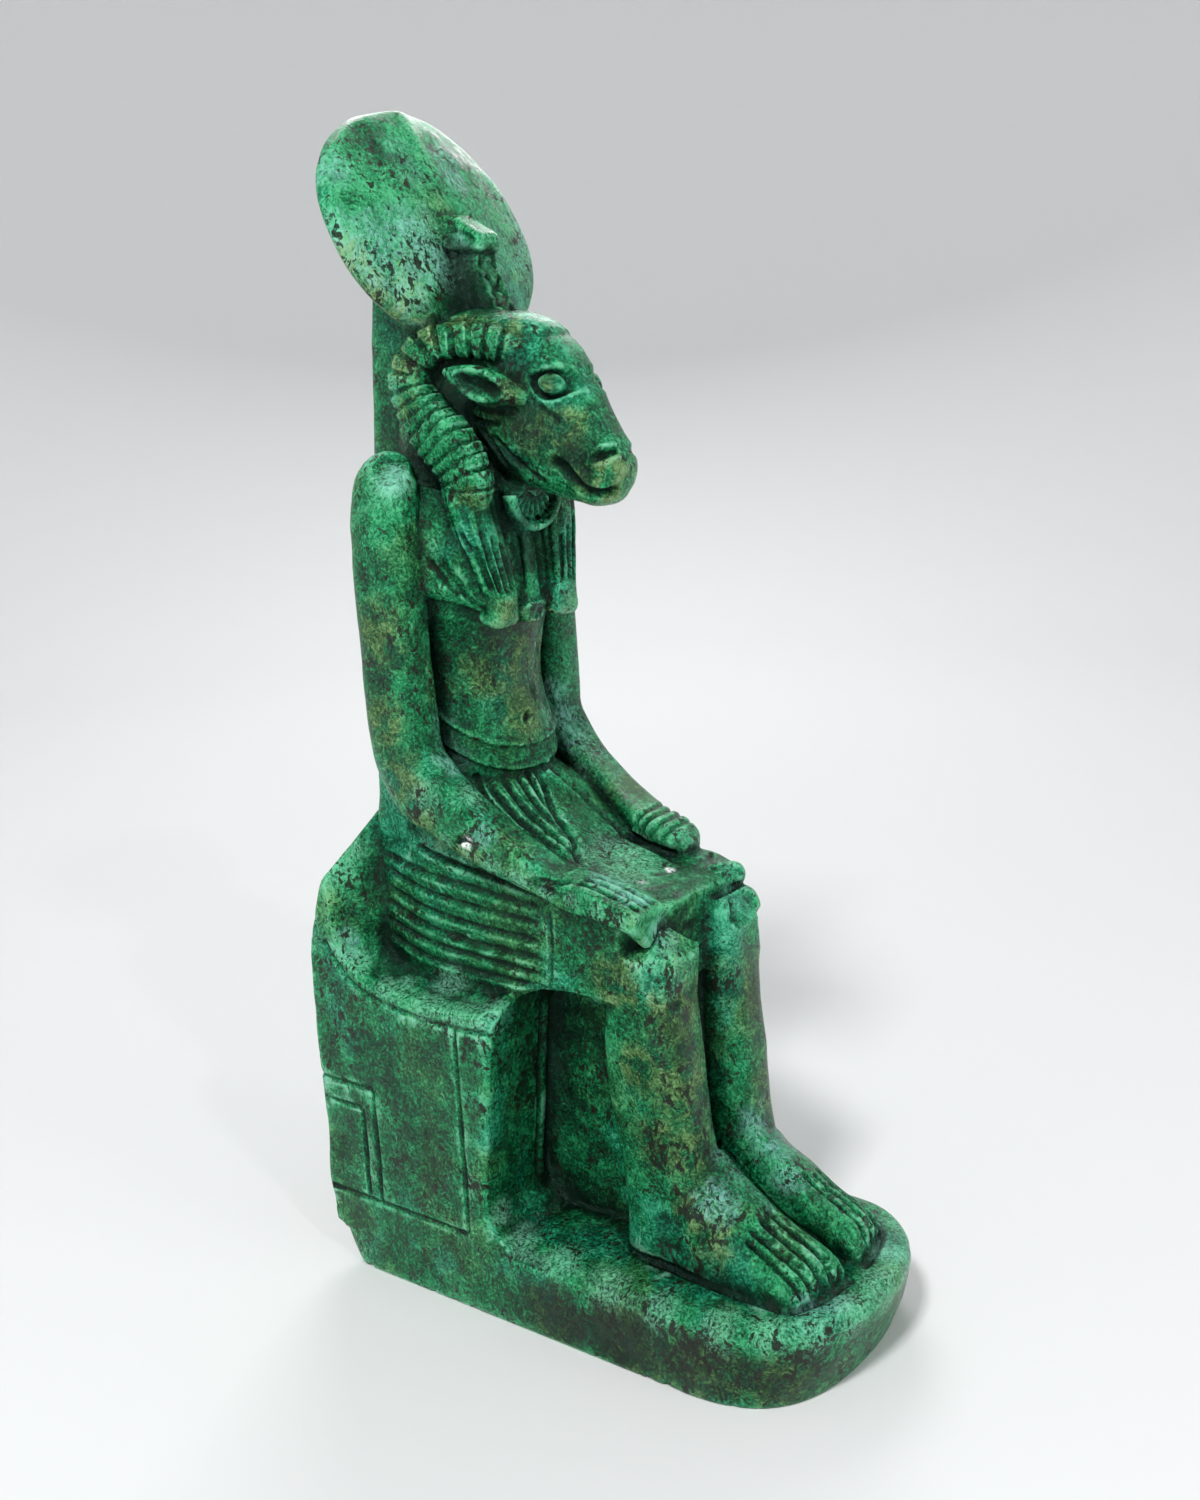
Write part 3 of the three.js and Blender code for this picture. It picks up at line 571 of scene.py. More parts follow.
def surface():
    return BVHTree.FromObject(statue, bpy.context.evaluated_depsgraph_get())


applyModifier("one block", "REMESH", mode="VOXEL", voxel_size=stone["grain"] * mm)
applyModifier("worn", "SMOOTH", factor=0.5, iterations=stone["soften"])
report(f"one block of {len(statue.data.polygons)} faces")


# Carving: every cut is a line laid on the surface, with a width and a depth

points, normals = readPoints(), readNormals()
skin = surface()
# how close together a line's points are laid, and how far off the stone may be
chisel = {"spacing": 1.0, "snap": 4.5}


def lumps(spots, size, seed):
    # smooth noise from -1 to 1, its lumps about this size in millimetres: each corner of a cell
    # has its own number, made by scrambling its place, and the points between blend them
    scaled = spots / size + seed * 17.31
    cell = np.floor(scaled)
    f = scaled - cell
    f = f * f * (3 - 2 * f)
    cell = cell.astype(np.int64)
    total = np.zeros(len(spots))
    for corner in range(8):
        step = np.array([corner & 1, corner >> 1 & 1, corner >> 2])
        key = (cell + step) @ np.array([374761393, 668265263, 715827882])
        key = (key ^ (key >> 13)) * 1274126177 & 0xFFFFFFFF
        weight = np.where(step, f, 1 - f).prod(1)
        total += weight * ((key ^ (key >> 16)) / 0x7FFFFFFF - 1)
    return total


def lay(line):
    # a smooth line through these places, brought down on the stone
    line = refine(line, 8)
    run = runAlong(line)
    count = max(int(run[-1] / chisel["spacing"]), 2) + 1
    even = np.column_stack([np.interp(np.linspace(0, run[-1], count), run, line[:, k]) for k in range(3)])
    found = [(p, skin.find_nearest(Vector(p))) for p in toFrame(even)]
    # a place far off the stone stays where it is, and cuts nothing
    laid = [hit[0] if hit[3] < chisel["snap"] * mm else p for p, hit in found]
    return fromFrame(laid), np.array([hit[1] for p, hit in found])


def near(spots, line, reach):
    low, high = line.min(0) - reach, line.max(0) + reach
    return np.flatnonzero(((spots > low) & (spots < high)).all(1))


def distances(spots, line):
    best = np.full(len(spots), 1e9)
    place = np.zeros(len(spots))
    for k in range(len(line) - 1):
        a, d = line[k], line[k + 1] - line[k]
        t = np.clip((spots - a) @ d / max(d @ d, 1e-9), 0, 1)
        away = np.linalg.norm(spots - a - t[:, None] * d, axis=1)
        closer = away < best
        best[closer], place[closer] = away[closer], k + t[closer]
    return best, place


def cut(line, width, depth, fade=0.12):
    # minus depth raises a ridge; fade is the share of the line over which each end runs out
    laid, facing = lay(line)
    reach = width * 0.8
    chosen = near(points, laid, reach)
    away, place = distances(points[chosen], laid)
    share = place / (len(laid) - 1)
    towards = (normals[chosen] * facing[np.minimum(place.astype(int), len(facing) - 1)]).sum(1)
    ends = smoothStep(np.minimum(share, 1 - share), -0.001, fade) if fade else 1
    wobble = 0.88 + 0.24 * lumps(points[chosen], size=5, seed=3)
    across = np.clip(1 - away / reach, 0, 1)
    # a V cut or a round ridge
    shape = across ** 1.15 if depth > 0 else across * across * (3 - 2 * across)
    removed = depth * shape * ends * wobble * (towards > 0.05)
    points[chosen] -= normals[chosen] * removed[:, None]


def mirror(line):
    return [(-x, y, z) for x, y, z in line]


def shifted(line, x=0, y=0, z=0):
    return [(a + x, b + y, c + z) for a, b, c in line]


def cutBoth(line, width, depth, **more):
    cut(line, width, depth, **more)
    cut(mirror(line), width, depth, **more)


def dome(centre, along, up, halves, profile, pointed=0.0):
    # raises or sinks an oval patch; profile gives height in millimetres over the share of its size
    centre, along, up = (np.array(v, float) for v in (centre, along, up))
    along /= np.linalg.norm(along)
    up -= along * (up @ along)
    up /= np.linalg.norm(up)
    facing = np.cross(along, up)
    if facing[0] * centre[0] < 0:
        facing = -facing
    chosen = near(points, centre[None], max(halves) * profile[-1][0])
    offset = points[chosen] - centre
    a, b = offset @ along / halves[0], offset @ up / halves[1]
    share = np.hypot(a, b / np.clip(1 - pointed * a * a, 0.3, 1))
    good = (normals[chosen] @ facing > 0.1) & (np.abs(offset @ facing) < max(halves) * 1.2)
    height = np.interp(share, *zip(*profile), right=0) * good
    points[chosen] += normals[chosen] * height[:, None]


def facet(centre, facing, size, depth, rough=0.12):
    # strikes off what stands more than this depth below the surface, as a blow or wear does
    facing = np.array(facing, float)
    facing /= np.linalg.norm(facing)
    chosen = near(points, np.array(centre, float)[None], size)
    offset = points[chosen] - centre
    above = offset @ facing + depth
    within = smoothStep(-np.linalg.norm(offset, axis=1), -size, -size * 0.7)
    struck = np.clip(above + rough * lumps(points[chosen], size=1.6, seed=9), 0, None) * within
    points[chosen] -= facing * struck[:, None]


# Kilt: a fan of pleats beside a plain apron, and long pleats round the thighs to an upright hem

kilt = {"apronRight": [(1.4, -5.5, 152), (-0.6, -8.4, 147), (-3.4, -15, 140.2), (-6, -22.8, 134.3),
                       (-12.6, -31.3, 129.6)],
        "apronLeft": [(6.8, -6.4, 153.6), (8.9, -9.2, 146.3), (12.6, -14.8, 140.4), (14, -26, 132),
                      (12.5, -48, 125)],
        "pleats": [[(-19.6, 0, 153.4), (-23.6, -6, 147.4), (-25, -11, 144)],
                   [(-18.2, 0.6, 154.3), (-19.4, -3.4, 148.2), (-20, -9, 143.2), (-18.4, -13.1, 140.8)],
                   [(-14.5, -1.1, 152.8), (-16.3, -5.2, 147.8), (-16.2, -12.1, 142.2), (-14.4, -18, 137.8),
                    (-12, -27, 131.8)],
                   [(-11, -3, 152.4), (-12.4, -8, 146.6), (-11.6, -14, 141.4), (-9.6, -22, 135.2)],
                   [(-6.6, -4.2, 152), (-7.6, -9.3, 146.1), (-6.8, -15.5, 140.2), (-6.4, -19, 137.4)],
                   [(-2.6, -5, 152), (-4, -9.4, 146.2), (-4.8, -13.4, 142)]],
        "pleatEnds": [[(-12.6, -17.4, 138.2), (-10.4, -22, 135), (-9.6, -26.9, 131.6)],
                      [(-16.4, -16, 138.8), (-14.6, -22.9, 134), (-13.2, -28, 131)]],
        "folds": [[(-1.8, -33, 129.8), (3, -35, 129.4), (8, -38, 128.6)],
                  [(-14, -47, 126), (-6, -51, 125), (2, -52, 124.6)],
                  [(-15, -52.4, 124.4), (-8, -56, 123.4), (0, -57, 123.2)],
                  [(-4, -44, 126.8), (4, -47.6, 126), (11, -48, 125.4)]],
        "frontFolds": [[(-15, -60.6, 120), (-8, -61.6, 118.6), (0, -61.6, 119)],
                       [(-14, -59, 115), (-6, -61, 114), (4, -61, 114.6)]],
        "sides": [[(-29, 17, 134), (-29, 4, 131.2), (-29, -8.7, 129.3), (-29, -22, 127.4), (-29, -30, 126)],
                  [(-29, 31, 129), (-29, 18, 126.6), (-29, 2, 125), (-29, -14, 123.4), (-29, -30, 122.2)],
                  [(-29, 31, 125), (-29, 18, 121.6), (-29, 2, 119.7), (-29, -13.6, 118.4), (-29, -30, 117.6)],
                  [(-29, 31, 119.6), (-29, 18.6, 116.2), (-29, 3, 114.2), (-29, -13, 113), (-29, -30, 112.4)],
                  [(-29, 31.5, 115), (-29, 19, 111), (-29, 6, 109.2), (-29, -7, 108), (-29, -30, 107.4)],
                  [(-29, 32, 109.4), (-29, 17, 106), (-29, -2, 104.4), (-29, -22, 103.4), (-29, -30, 103.2)],
                  [(-29, 31.5, 104.2), (-29, 17, 101), (-29, -2, 99.7), (-29, -20, 99.4), (-29, -30, 99.6)]],
        "hem": [(-28.6, -31.6, 124), (-28.8, -31.8, 110.8), (-28.6, -30.8, 98)],
        "underKnee": [(-21, -31, 97.4), (-26, -33.4, 97), (-28.6, -44, 96.6)]}


def carveKilt():
    for lines, depth in ((kilt["pleats"], 2.1), (kilt["pleatEnds"], 1.4)):
        for line in lines:
            cut(line, width=1.9, depth=depth, fade=0.2)
            cut(shifted(line, x=1.3), width=1.5, depth=-0.5, fade=0.3)
    cut(kilt["apronRight"], width=2.2, depth=2.2)
    cut(kilt["apronLeft"], width=2.8, depth=1.6)
    cut(shifted(kilt["apronLeft"][:3], x=-2.6), width=2.6, depth=-0.7)
    for line in kilt["folds"]:
        cut(line, width=2.0, depth=0.55, fade=0.35)
    for line in kilt["frontFolds"]:
        cut(line, width=2.2, depth=0.7, fade=0.3)
    for k, line in enumerate(kilt["sides"]):
        # no two pleats are quite alike
        width, depth = 1.8 + 0.5 * math.sin(2.1 * k), 1.25 + 0.2 * math.cos(1.7 * k)
        cutBoth(line, width=width, depth=depth, fade=0.08)
        cutBoth(shifted(line, z=-1.8), width=2.2, depth=-0.6, fade=0.14)
    cutBoth(kilt["hem"], width=1.6, depth=0.8, fade=0.2)
    cutBoth(kilt["underKnee"], width=2.0, depth=1.3)


# Chest and belly: a crease, the navel, the lines of the armpits, the strip and the lappets

chest = {"crease": [(4.1, -3, 176), (4.9, -3.4, 171.1), (5.1, -3.9, 167.5)],
         "navel": (-1.2, -5.2, 166.8),
         "navelProfile": [(0, -1.0), (0.5, -0.8), (0.85, -0.1), (1.1, 0.3), (1.5, 0)],
         "armpit": [[(-25.6, 1.4, 216), (-23.9, -0.6, 210), (-20.4, -4.4, 202.4), (-16.4, -7, 197.8)],
                    [(-28, 4, 215), (-25.4, 0.6, 209), (-22.2, -2.4, 203.4)]],
         "armpitFold": [(-27.2, 3.4, 208.6), (-23, -2.2, 204.8), (-15, -6.6, 200.2)],
         # x and y of the strip's two edges and the line beside each; then x as a share, how much
         # further back, and z
         "stripEdges": [(-6, -8.4), (-3.6, -9), (6, -8.4), (3.6, -9)],
         "stripLine": [(1, 0, 203), (1.1, 0.4, 212), (1.2, 1, 220)],
         "stripEnd": (0, -11.4, 197),
         "stripEndProfile": [(0, -0.9), (0.6, -0.8), (0.85, 0), (1, 0.4), (1.2, 0)],
         "stripes": [[(-22.2, -4.4, 222), (-21.4, -5.4, 219), (-20, -7.8, 211.8), (-17.4, -9, 204)],
                     [(-20.2, -7.6, 222), (-19.8, -8.4, 219), (-17.8, -10.4, 211.6), (-15.4, -11.2, 203.6)],
                     [(-16.8, -9.4, 220), (-15.2, -11, 212), (-13.4, -11.6, 203.6)],
                     [(-13.4, -9.8, 218), (-12.6, -10.8, 213), (-11.4, -11.2, 204)]],
         # ribs of the fan under the chin: reach, y, height of the middle, reach downwards
         "fanRibs": 8, "fanRib": [(2.4, -14.6, 231.6, 2.4), (5.2, -13.4, 230.4, 5), (8, -11.8, 229.4, 7.4)]}


def carveChest():
    cut(chest["crease"], width=2.4, depth=0.6, fade=0.3)
    dome(chest["navel"], along=(0.8, 0, 0.6), up=(-0.6, 0, 0.8), halves=(2.6, 1.7),
         profile=chest["navelProfile"])
    for line in chest["armpit"]:
        cutBoth(line, width=1.9, depth=1.6, fade=0.16)
    cutBoth(chest["armpitFold"], width=2.2, depth=-0.5, fade=0.25)
    for x, y in chest["stripEdges"]:
        line = [(x * share, y + back, z) for share, back, z in chest["stripLine"]]
        cut(line, width=1.8, depth=1.5, fade=0.15)
    for line in chest["stripes"]:
        cutBoth(line, width=1.7, depth=1.4, fade=0.1)
    for k in range(chest["fanRibs"]):
        turn = math.pi * (1.08 + 0.84 * k / (chest["fanRibs"] - 1))
        c, s = math.cos(turn), math.sin(turn)
        line = [(out * c, y, z + down * s) for out, y, z, down in chest["fanRib"]]
        cut(line, width=1.6, depth=1.4, fade=0.05)
    dome(chest["stripEnd"], along=(1, 0, 0), up=(0, -0.2, 1), halves=(4.6, 2.6),
         profile=chest["stripEndProfile"])


# Hands: the right one's fingers lie side by side, the left one's are bent round the cloth

hand = {"betweenFingers": (-3.4, 0.1, 3.5),
        "finger": [(-24.4, -41.6, 131.4), (-23.8, -52, 127.8), (-23.2, -60, 125)],
        "fingerBack": [(-26, -43, 131.4), (-25.4, -52, 128.2), (-25, -58.6, 125.4)],
        "wrist": [[(-32.6, -29, 131.2), (-31.8, -35.4, 131.2), (-29.8, -39, 131), (-26.4, -39.6, 131.2)],
                  [(-31.6, -37.4, 128.4), (-31.8, -33, 129.2), (-32, -27, 131.2)]],
        "knuckles": [(-28, -37, 132), (-23, -37.4, 132), (-18.4, -36, 130.6)],
        "thumb": [(-17, -40, 127), (-16.2, -50, 124.4), (-16.2, -58, 121.6)],
        "fistFingers": 4,
        # x, and y and z before or behind the finger's own
        "fistFinger": [(15.2, 0.8, -4), (21.5, -1.6, 0), (26, -1.2, 0), (29.6, 1.2, -4)],
        "fistThumb": [(15.4, -26, 131.4), (16.2, -34, 128.6), (18.4, -42, 125.4)],
        "fistThumbBack": [(14.8, -24, 133.6), (15, -31, 131), (15.4, -37, 129)],
        "clothFolds": [[(17, -49, 126), (21, -50.4, 126.6), (26.4, -49, 125.6)],
                       [(16.6, -53.8, 124), (20, -57, 124), (24, -60.4, 122)]]}


def carveHands():
    for x in hand["betweenFingers"]:
        cut(shifted(hand["finger"], x), width=1.6, depth=1.9, fade=0.06)
        cut(shifted(hand["fingerBack"], x), width=1.6, depth=-0.4, fade=0.1)
    for line in hand["wrist"]:
        cut(line, width=1.8, depth=1.2, fade=0.2)
    cut(hand["knuckles"], width=2.2, depth=-0.6, fade=0.3)
    cut(hand["thumb"], width=1.4, depth=0.7)
    for k in range(hand["fistFingers"]):
        line = shifted(hand["fistFinger"], y=-29.2 - 3.3 * k, z=137 - 1.1 * k)
        cut(line, width=1.5, depth=0.9, fade=0.2)
    cut(hand["fistThumb"], width=2.0, depth=1.6)
    cut(hand["fistThumbBack"], width=2.4, depth=-0.7)
    for line in hand["clothFolds"]:
        cut(line, width=1.6, depth=1.0)


# Feet and calves: toes, the line of the sole, ankles, and the crease beside the web

foot = {"toes": (0.3, 0.49, 0.67, 0.84),  # share of the way from the inner to the outer side
        "sole": [(-19, -47.6, 24.3), (-23.4, -60, 24.3), (-25.8, -75, 24.3), (-26.4, -90, 24.3),
                 (-26, -100.5, 24.3), (-20, -104.6, 24.3), (-10, -107, 24.3), (-2.6, -107.8, 24.3)],
        "between": [(-3, -62, 48), (-3, -70, 40), (-3, -84, 31), (-3, -97, 27)],
        "calf": [(-13.6, -41.4, 90), (-12.6, -40.4, 76), (-12.4, -41.2, 62), (-12.2, -42, 50),
                 (-11.6, -44, 36)],
        # a square notch at the right ankle is cut in four strokes, one below the other
        "notch": [(-24.6, -61.4, 0), (-24.8, -63.8, -0.2), (-25, -66.2, -0.2)],
        "notchHeights": (38, 35.6, 33.2, 30.8),
        "ankle": [(-22, -69, 47), (-24.4, -74, 40), (-25.4, -78, 33)]}


def carveFeet():
    for k, f in enumerate(foot["toes"]):
        x = [blend(-4 - (y + 108) * 0.02, -25, f) for y in (-85, -102, -108)]
        tip = 3 * f
        start = -84.5 - 1.6 * (k % 2)
        line = [(x[0], start, blend(44.6, 38, f)), (x[1], -102 + tip, blend(33.6, 29.8, f)),
                (x[2], -107.5 + tip, 25)]
        cutBoth(line, width=1.7, depth=2.1, fade=0.1)
    cutBoth(foot["sole"], width=1.9, depth=1.2, fade=0.02)
    cutBoth(foot["between"], width=1.8, depth=0.8)
    cutBoth(foot["calf"], width=2.4, depth=1.7, fade=0.08)
    for z in foot["notchHeights"]:
        cut(shifted(foot["notch"], z=z), width=2.8, depth=0.75, fade=0)
    cutBoth(foot["ankle"], width=3.4, depth=0.5, fade=0.3)


# Blows: facets struck off the knees and the corners

blows = {"kneeEdge": [(-25, -59.6, 118.4), (-17, -60, 118.8), (-8, -59.8, 118.4)],
         # centre, facing, size, depth on the right knee, and the share of it on the left one
         "knees": [((-16, -65.4, 114.4), (0.1, -0.8, 0.65), 9, 1.5, 0.5),
                   ((-25, -60, 115), (-0.6, 0, 0.8), 8, 1.3, 0),
                   ((-25.8, -64.4, 107), (-0.7, -0.75, 0.1), 8, 1.3, 0.5),
                   ((-8.6, -60.6, 115), (0.6, -0.2, 0.8), 6, 1.0, 0),
                   ((-22.6, -65.2, 113), (-0.5, -0.65, 0.6), 5, 1.0, 0),
                   ((-20, -67, 104), (-0.15, -1, -0.1), 7, 0.7, 0)],
         # centre, facing, size, depth: right forearm, cobra, shoulders, seat corners
         "corners": [((-36.4, -10.5, 139.6), (-0.6, -0.2, 0.9), 3.4, 0.5),
                     ((-4.6, 8, 303), (-0.4, 0.3, 1), 4, 0.6), ((3, -1, 299.6), (0.4, -0.9, 0.7), 3.6, 0.6),
                     ((-4.4, -0.4, 298), (-0.9, -0.7, 0.3), 3.2, 0.6),
                     ((-33.4, 9, 237.6), (-0.5, -0.6, 0.8), 7, 0.6),
                     ((33.4, 9.6, 237), (0.5, -0.5, 0.9), 7, 0.7),
                     ((-39.6, -17.6, 90.4), (-0.7, -0.7, 0.9), 4, 0.7),
                     ((39.6, -17.6, 90), (0.7, -0.7, 0.9), 5, 0.9)]}


def strikeBlows():
    cutBoth(blows["kneeEdge"], width=1.8, depth=1.3)
    for (x, y, z), (a, b, c), size, depth, share in blows["knees"]:
        facet((x, y, z), (a, b, c), size, depth)
        if share:
            # the left knee is struck a little further back and lower
            facet((-x, y + 0.5, z - 0.4), (-a, b - 0.1, c), size * 0.8, depth * share)
    for centre, facing, size, depth in blows["corners"]:
        facet(centre, facing, size, depth)


# Cobra: crossing strokes up the block, and a cap at the height of the head

cobraCuts = {"strokes": 6, "firstHeight": 270.5, "apart": 4.1, "tilt": 2.4, "half": 3.6,
             "edge": [(-4.2, -9.6, 268), (-4.1, -5, 279), (-4, -1.6, 290)],
             "neck": [(-4.9, 12, 293.6), (-4.9, 4, 293), (-4.9, -0.6, 292.6), (0, -1.4, 292.4),
                      (4.9, -0.6, 292.6), (4.9, 4, 293), (4.9, 12, 293.6)],
             "brow": [(-4.9, 9, 299.6), (-4.9, 4, 298.2), (-4.9, -0.4, 296)],
             "top": [(-2.4, 0, 299), (0, 3, 301.6), (2.6, 8, 304)]}


def carveCobra():
    for k in range(cobraCuts["strokes"]):
        z = cobraCuts["firstHeight"] + cobraCuts["apart"] * k
        y = -10.6 + (z - 266) * 0.36  # the block leans back as it rises
        tilt = cobraCuts["tilt"] if k % 2 else -cobraCuts["tilt"]
        half, low = cobraCuts["half"], z - tilt * 0.6
        cut([(-half, y, low), (0, y - 0.6, z + tilt), (half, y, low)], width=1.8, depth=1.6, fade=0.1)
    cut(cobraCuts["edge"], width=1.6, depth=-0.7, fade=0.1)
    cut(cobraCuts["neck"], width=2.0, depth=1.5, fade=0.05)
    cutBoth(cobraCuts["brow"], width=1.4, depth=0.6)
    cut(cobraCuts["top"], width=1.4, depth=0.5)


# Mane: short strokes of hair behind the jaw

mane = {"strokes": [[(-13.6, -7, 248), (-13, -10, 242), (-12.4, -12.6, 236)],
                    [(-15.2, -4.2, 246), (-14.4, -7.4, 239.6), (-13.6, -10.2, 233.4)]]}


def carveMane():
    for line in mane["strokes"]:
        cutBoth(line, width=1.3, depth=0.7)


# Throne: incised frame lines on each side, and two grooves where it meets the web

panel = {"x": -40, "width": 1.6, "depth": 0.95,
         # y and z along each line
         "lines": [[(-18, 87.5), (-6, 86.8), (8, 87), (22, 88.6), (33, 92), (40, 98), (44, 104)],
                   [(-4.6, 24), (22, 24), (50, 24)], [(-5, 86.6), (-5, 55), (-5, 24)],
                   [(29, 24), (29, 42), (29, 60)], [(29, 60), (40, 60), (51, 60)],
                   [(34, 25), (34, 39), (34, 53)], [(34, 53), (42, 53), (51, 53)]],
         "grooves": (-12, -16.5), "groove": [(-18.2, 90), (-15, 60), (-12.4, 33)],
         # the seat rim is rolled over a little along its edge
         "rim": [(-39, -14, 91.6), (-38.6, 4, 91), (-38, 20, 92.2), (-37.4, 32, 96)],
         "behindRim": [(-34, -13, 92.6), (-33, 4, 92.4), (-32.4, 20, 94), (-32, 30, 97)]}


def carveThrone():
    for line in panel["lines"]:
        cutBoth([(panel["x"], y, z) for y, z in line], panel["width"], panel["depth"], fade=0.01)
    for x in panel["grooves"]:
        cutBoth([(x, y, z) for y, z in panel["groove"]], width=1.8, depth=1.3, fade=0.04)
    cutBoth(panel["rim"], width=2.6, depth=-0.4, fade=0.1)
    cutBoth(panel["behindRim"], width=3.4, depth=0.5, fade=0.15)


# Face: eye, nostril, mouth, ear, and the hair below the ear

face = {"eye": (-9.9, -27.0, 258.3), "eyeAlong": (0, -0.936, -0.35), "eyeUp": (0, -0.35, 0.936),
        "eyeHalves": (6.0, 4.3),
        "eyeProfile": [(0, 0.7), (0.3, 0.6), (0.5, 0.1), (0.6, -1.1), (0.7, -2.0), (0.8, -1.9),
                       (0.92, -0.5), (1.0, 0.15), (1.1, 0.25), (1.3, 0)],
        "nostril": (-7.0, -40.4, 239.9),
        "ear": (-21.2, -12.2, 258.8),
        "earProfile": [(0, -3.0), (0.4, -2.7), (0.66, -1.0), (0.82, 0.3), (1, 0.6), (1.2, 0)],
        "mouth": [(-10.8, -26, 239.4), (-9.9, -29.4, 237.2), (-8.8, -32.2, 233.8), (-8.2, -35, 230.8),
                  (-6.6, -38.6, 229.9), (-3.6, -41, 230.4), (-1.4, -42, 230.8)],
        "lid": [(-10.4, -20.6, 261), (-10.2, -23.4, 264), (-8.6, -26.2, 265), (-7, -30, 262)],
        "cheek": [(-11.8, -23.4, 253.6), (-11.2, -25.8, 251.6), (-10.6, -28.2, 250), (-10.3, -29.6, 247.6)],
        "jaw": [(-14.4, -9, 246.4), (-12.4, -14, 240.4), (-10, -19.4, 235.4), (-8.4, -24, 232.6)],
        "hair": [[(-13, -14.6, 251.6), (-16.4, -8, 252.6), (-18, -2.6, 254.6)],
                 [(-12.6, -12.6, 248.6), (-15.4, -6.6, 249.6), (-17, -1.6, 251.4)]]}


def carveFace():
    # the left side is carved a little shallower
    for side, share in ((1, 1), (-1, 0.6)):
        x, y, z = face["eye"]
        profile = [(at, height * share) for at, height in face["eyeProfile"]]
        dome((x * side, y, z), face["eyeAlong"], face["eyeUp"], face["eyeHalves"], profile, pointed=0.5)
        x, y, z = face["nostril"]
        depth = share ** 2
        profile = [(0, -2.2 * depth), (0.4, -1.9 * depth), (0.7, -0.2), (0.95, 1.25 * share - 0.75),
                   (1.2, 0.75 * share - 0.45), (1.6, 0)]
        dome((x * side, y, z), along=(0, -0.9, 0.42), up=(0, 0.42, 0.9), halves=(3.8, 2.2),
             profile=profile, pointed=0.3)
        x, y, z = face["ear"]
        dome((x * side, y, z), along=(-0.53 * side, 0.77, 0.36), up=(0, 0.42, -0.9), halves=(8.4, 3.6),
             profile=face["earProfile"], pointed=0.5)
    cut(face["mouth"], width=2.6, depth=3.0, fade=0.1)
    cut(mirror(face["mouth"][:6]), width=2.4, depth=1.8, fade=0.3)
    cut(shifted(face["mouth"][1:6], -0.3, -0.4, 2.2), width=2.2, depth=-0.5, fade=0.2)
    cut(face["lid"], width=1.6, depth=-0.5)
    cutBoth(face["cheek"], width=1.6, depth=1.0, fade=0.2)
    cutBoth(face["jaw"], width=2.2, depth=1.3)
    for line in face["hair"]:
        cutBoth(line, width=1.4, depth=0.9)


for carving in (carveKilt, carveChest, carveHands, carveFeet, carveThrone, carveFace, carveCobra, carveMane,
                strikeBlows):
    carving()
writePoints()
report("carved")


# Hand finish: the surface is never quite flat, and what stands out is chipped

wear = {"swell": 0.4, "swellSize": 15, "ripple": 0.2, "rippleSize": 6, "chips": 120, "proud": 0.2}
chance = np.random.default_rng(7)


def neighbours():
    # the two ends of every edge, and how many edges meet at each point
    edges = np.empty(len(statue.data.edges) * 2, np.int32)
    statue.data.edges.foreach_get("vertices", edges)
    edges = edges.reshape(-1, 2)
    return edges, np.bincount(edges.ravel(), minlength=len(statue.data.vertices)).astype(float)


def neighbourMean(values, edges, counts):
    total = np.zeros_like(values)
    for k in range(values.shape[1]):
        total[:, k] = (np.bincount(edges[:, 0], values[edges[:, 1], k], len(values))
                       + np.bincount(edges[:, 1], values[edges[:, 0], k], len(values)))
    return total / counts[:, None]


def unevenSurface():
    height = (wear["swell"] * lumps(points, wear["swellSize"], seed=1)
              + wear["ripple"] * lumps(points, wear["rippleSize"], seed=2))
    # the underside stays flat
    return points + normals * (height * smoothStep(points[:, 2], 0.2, 4))[:, None]


def chipEdges():
    # chips sit where a gently smoothed copy of the block falls well inside the edge
    edges, counts = neighbours()
    smooth = points.copy()
    for _ in range(8):
        smooth = neighbourMean(smooth, edges, counts)
    proud = ((points - smooth) * normals).sum(1)
    x, y, z = np.abs(points[:, 0]), points[:, 1], points[:, 2]
    # base, feet and knees, outer sides, disc, and back
    worn = ((z > 2.5) & (z < 22) | (z > 26) & (z < 123) & (x < 26) & (y < -56) | (x > 37) & (z < 235)
            | (z > 282) & (x > 8) | (z > 100) & (y > 33))
    sharp = np.flatnonzero((proud > wear["proud"]) & worn)
    for k in chance.choice(sharp, wear["chips"], replace=False):
        size = 0.8 + 2.2 * chance.random() ** 2
        facing = normals[k] + chance.normal(0, 0.25, 3)
        facet(points[k], facing, size, depth=0.1 + 0.13 * size, rough=0.08)


points, normals = readPoints(), readNormals()
points = unevenSurface()
writePoints()
points, normals = readPoints(), readNormals()
chipEdges()
writePoints()
report("chipped")

statue.data.calc_loop_triangles()
applyModifier("lighter mesh", "DECIMATE", ratio=stone["triangles"] / len(statue.data.loop_triangles))
report(f"{len(statue.data.polygons)} faces kept")


# What the finish follows. Hollows come from how full of stone the room around a place is.

room = {"low": (-42, -119, -2), "high": (42, 54, 335), "margin": 14, "step": 1.0, "above": 340,
        "mostLayers": 40}


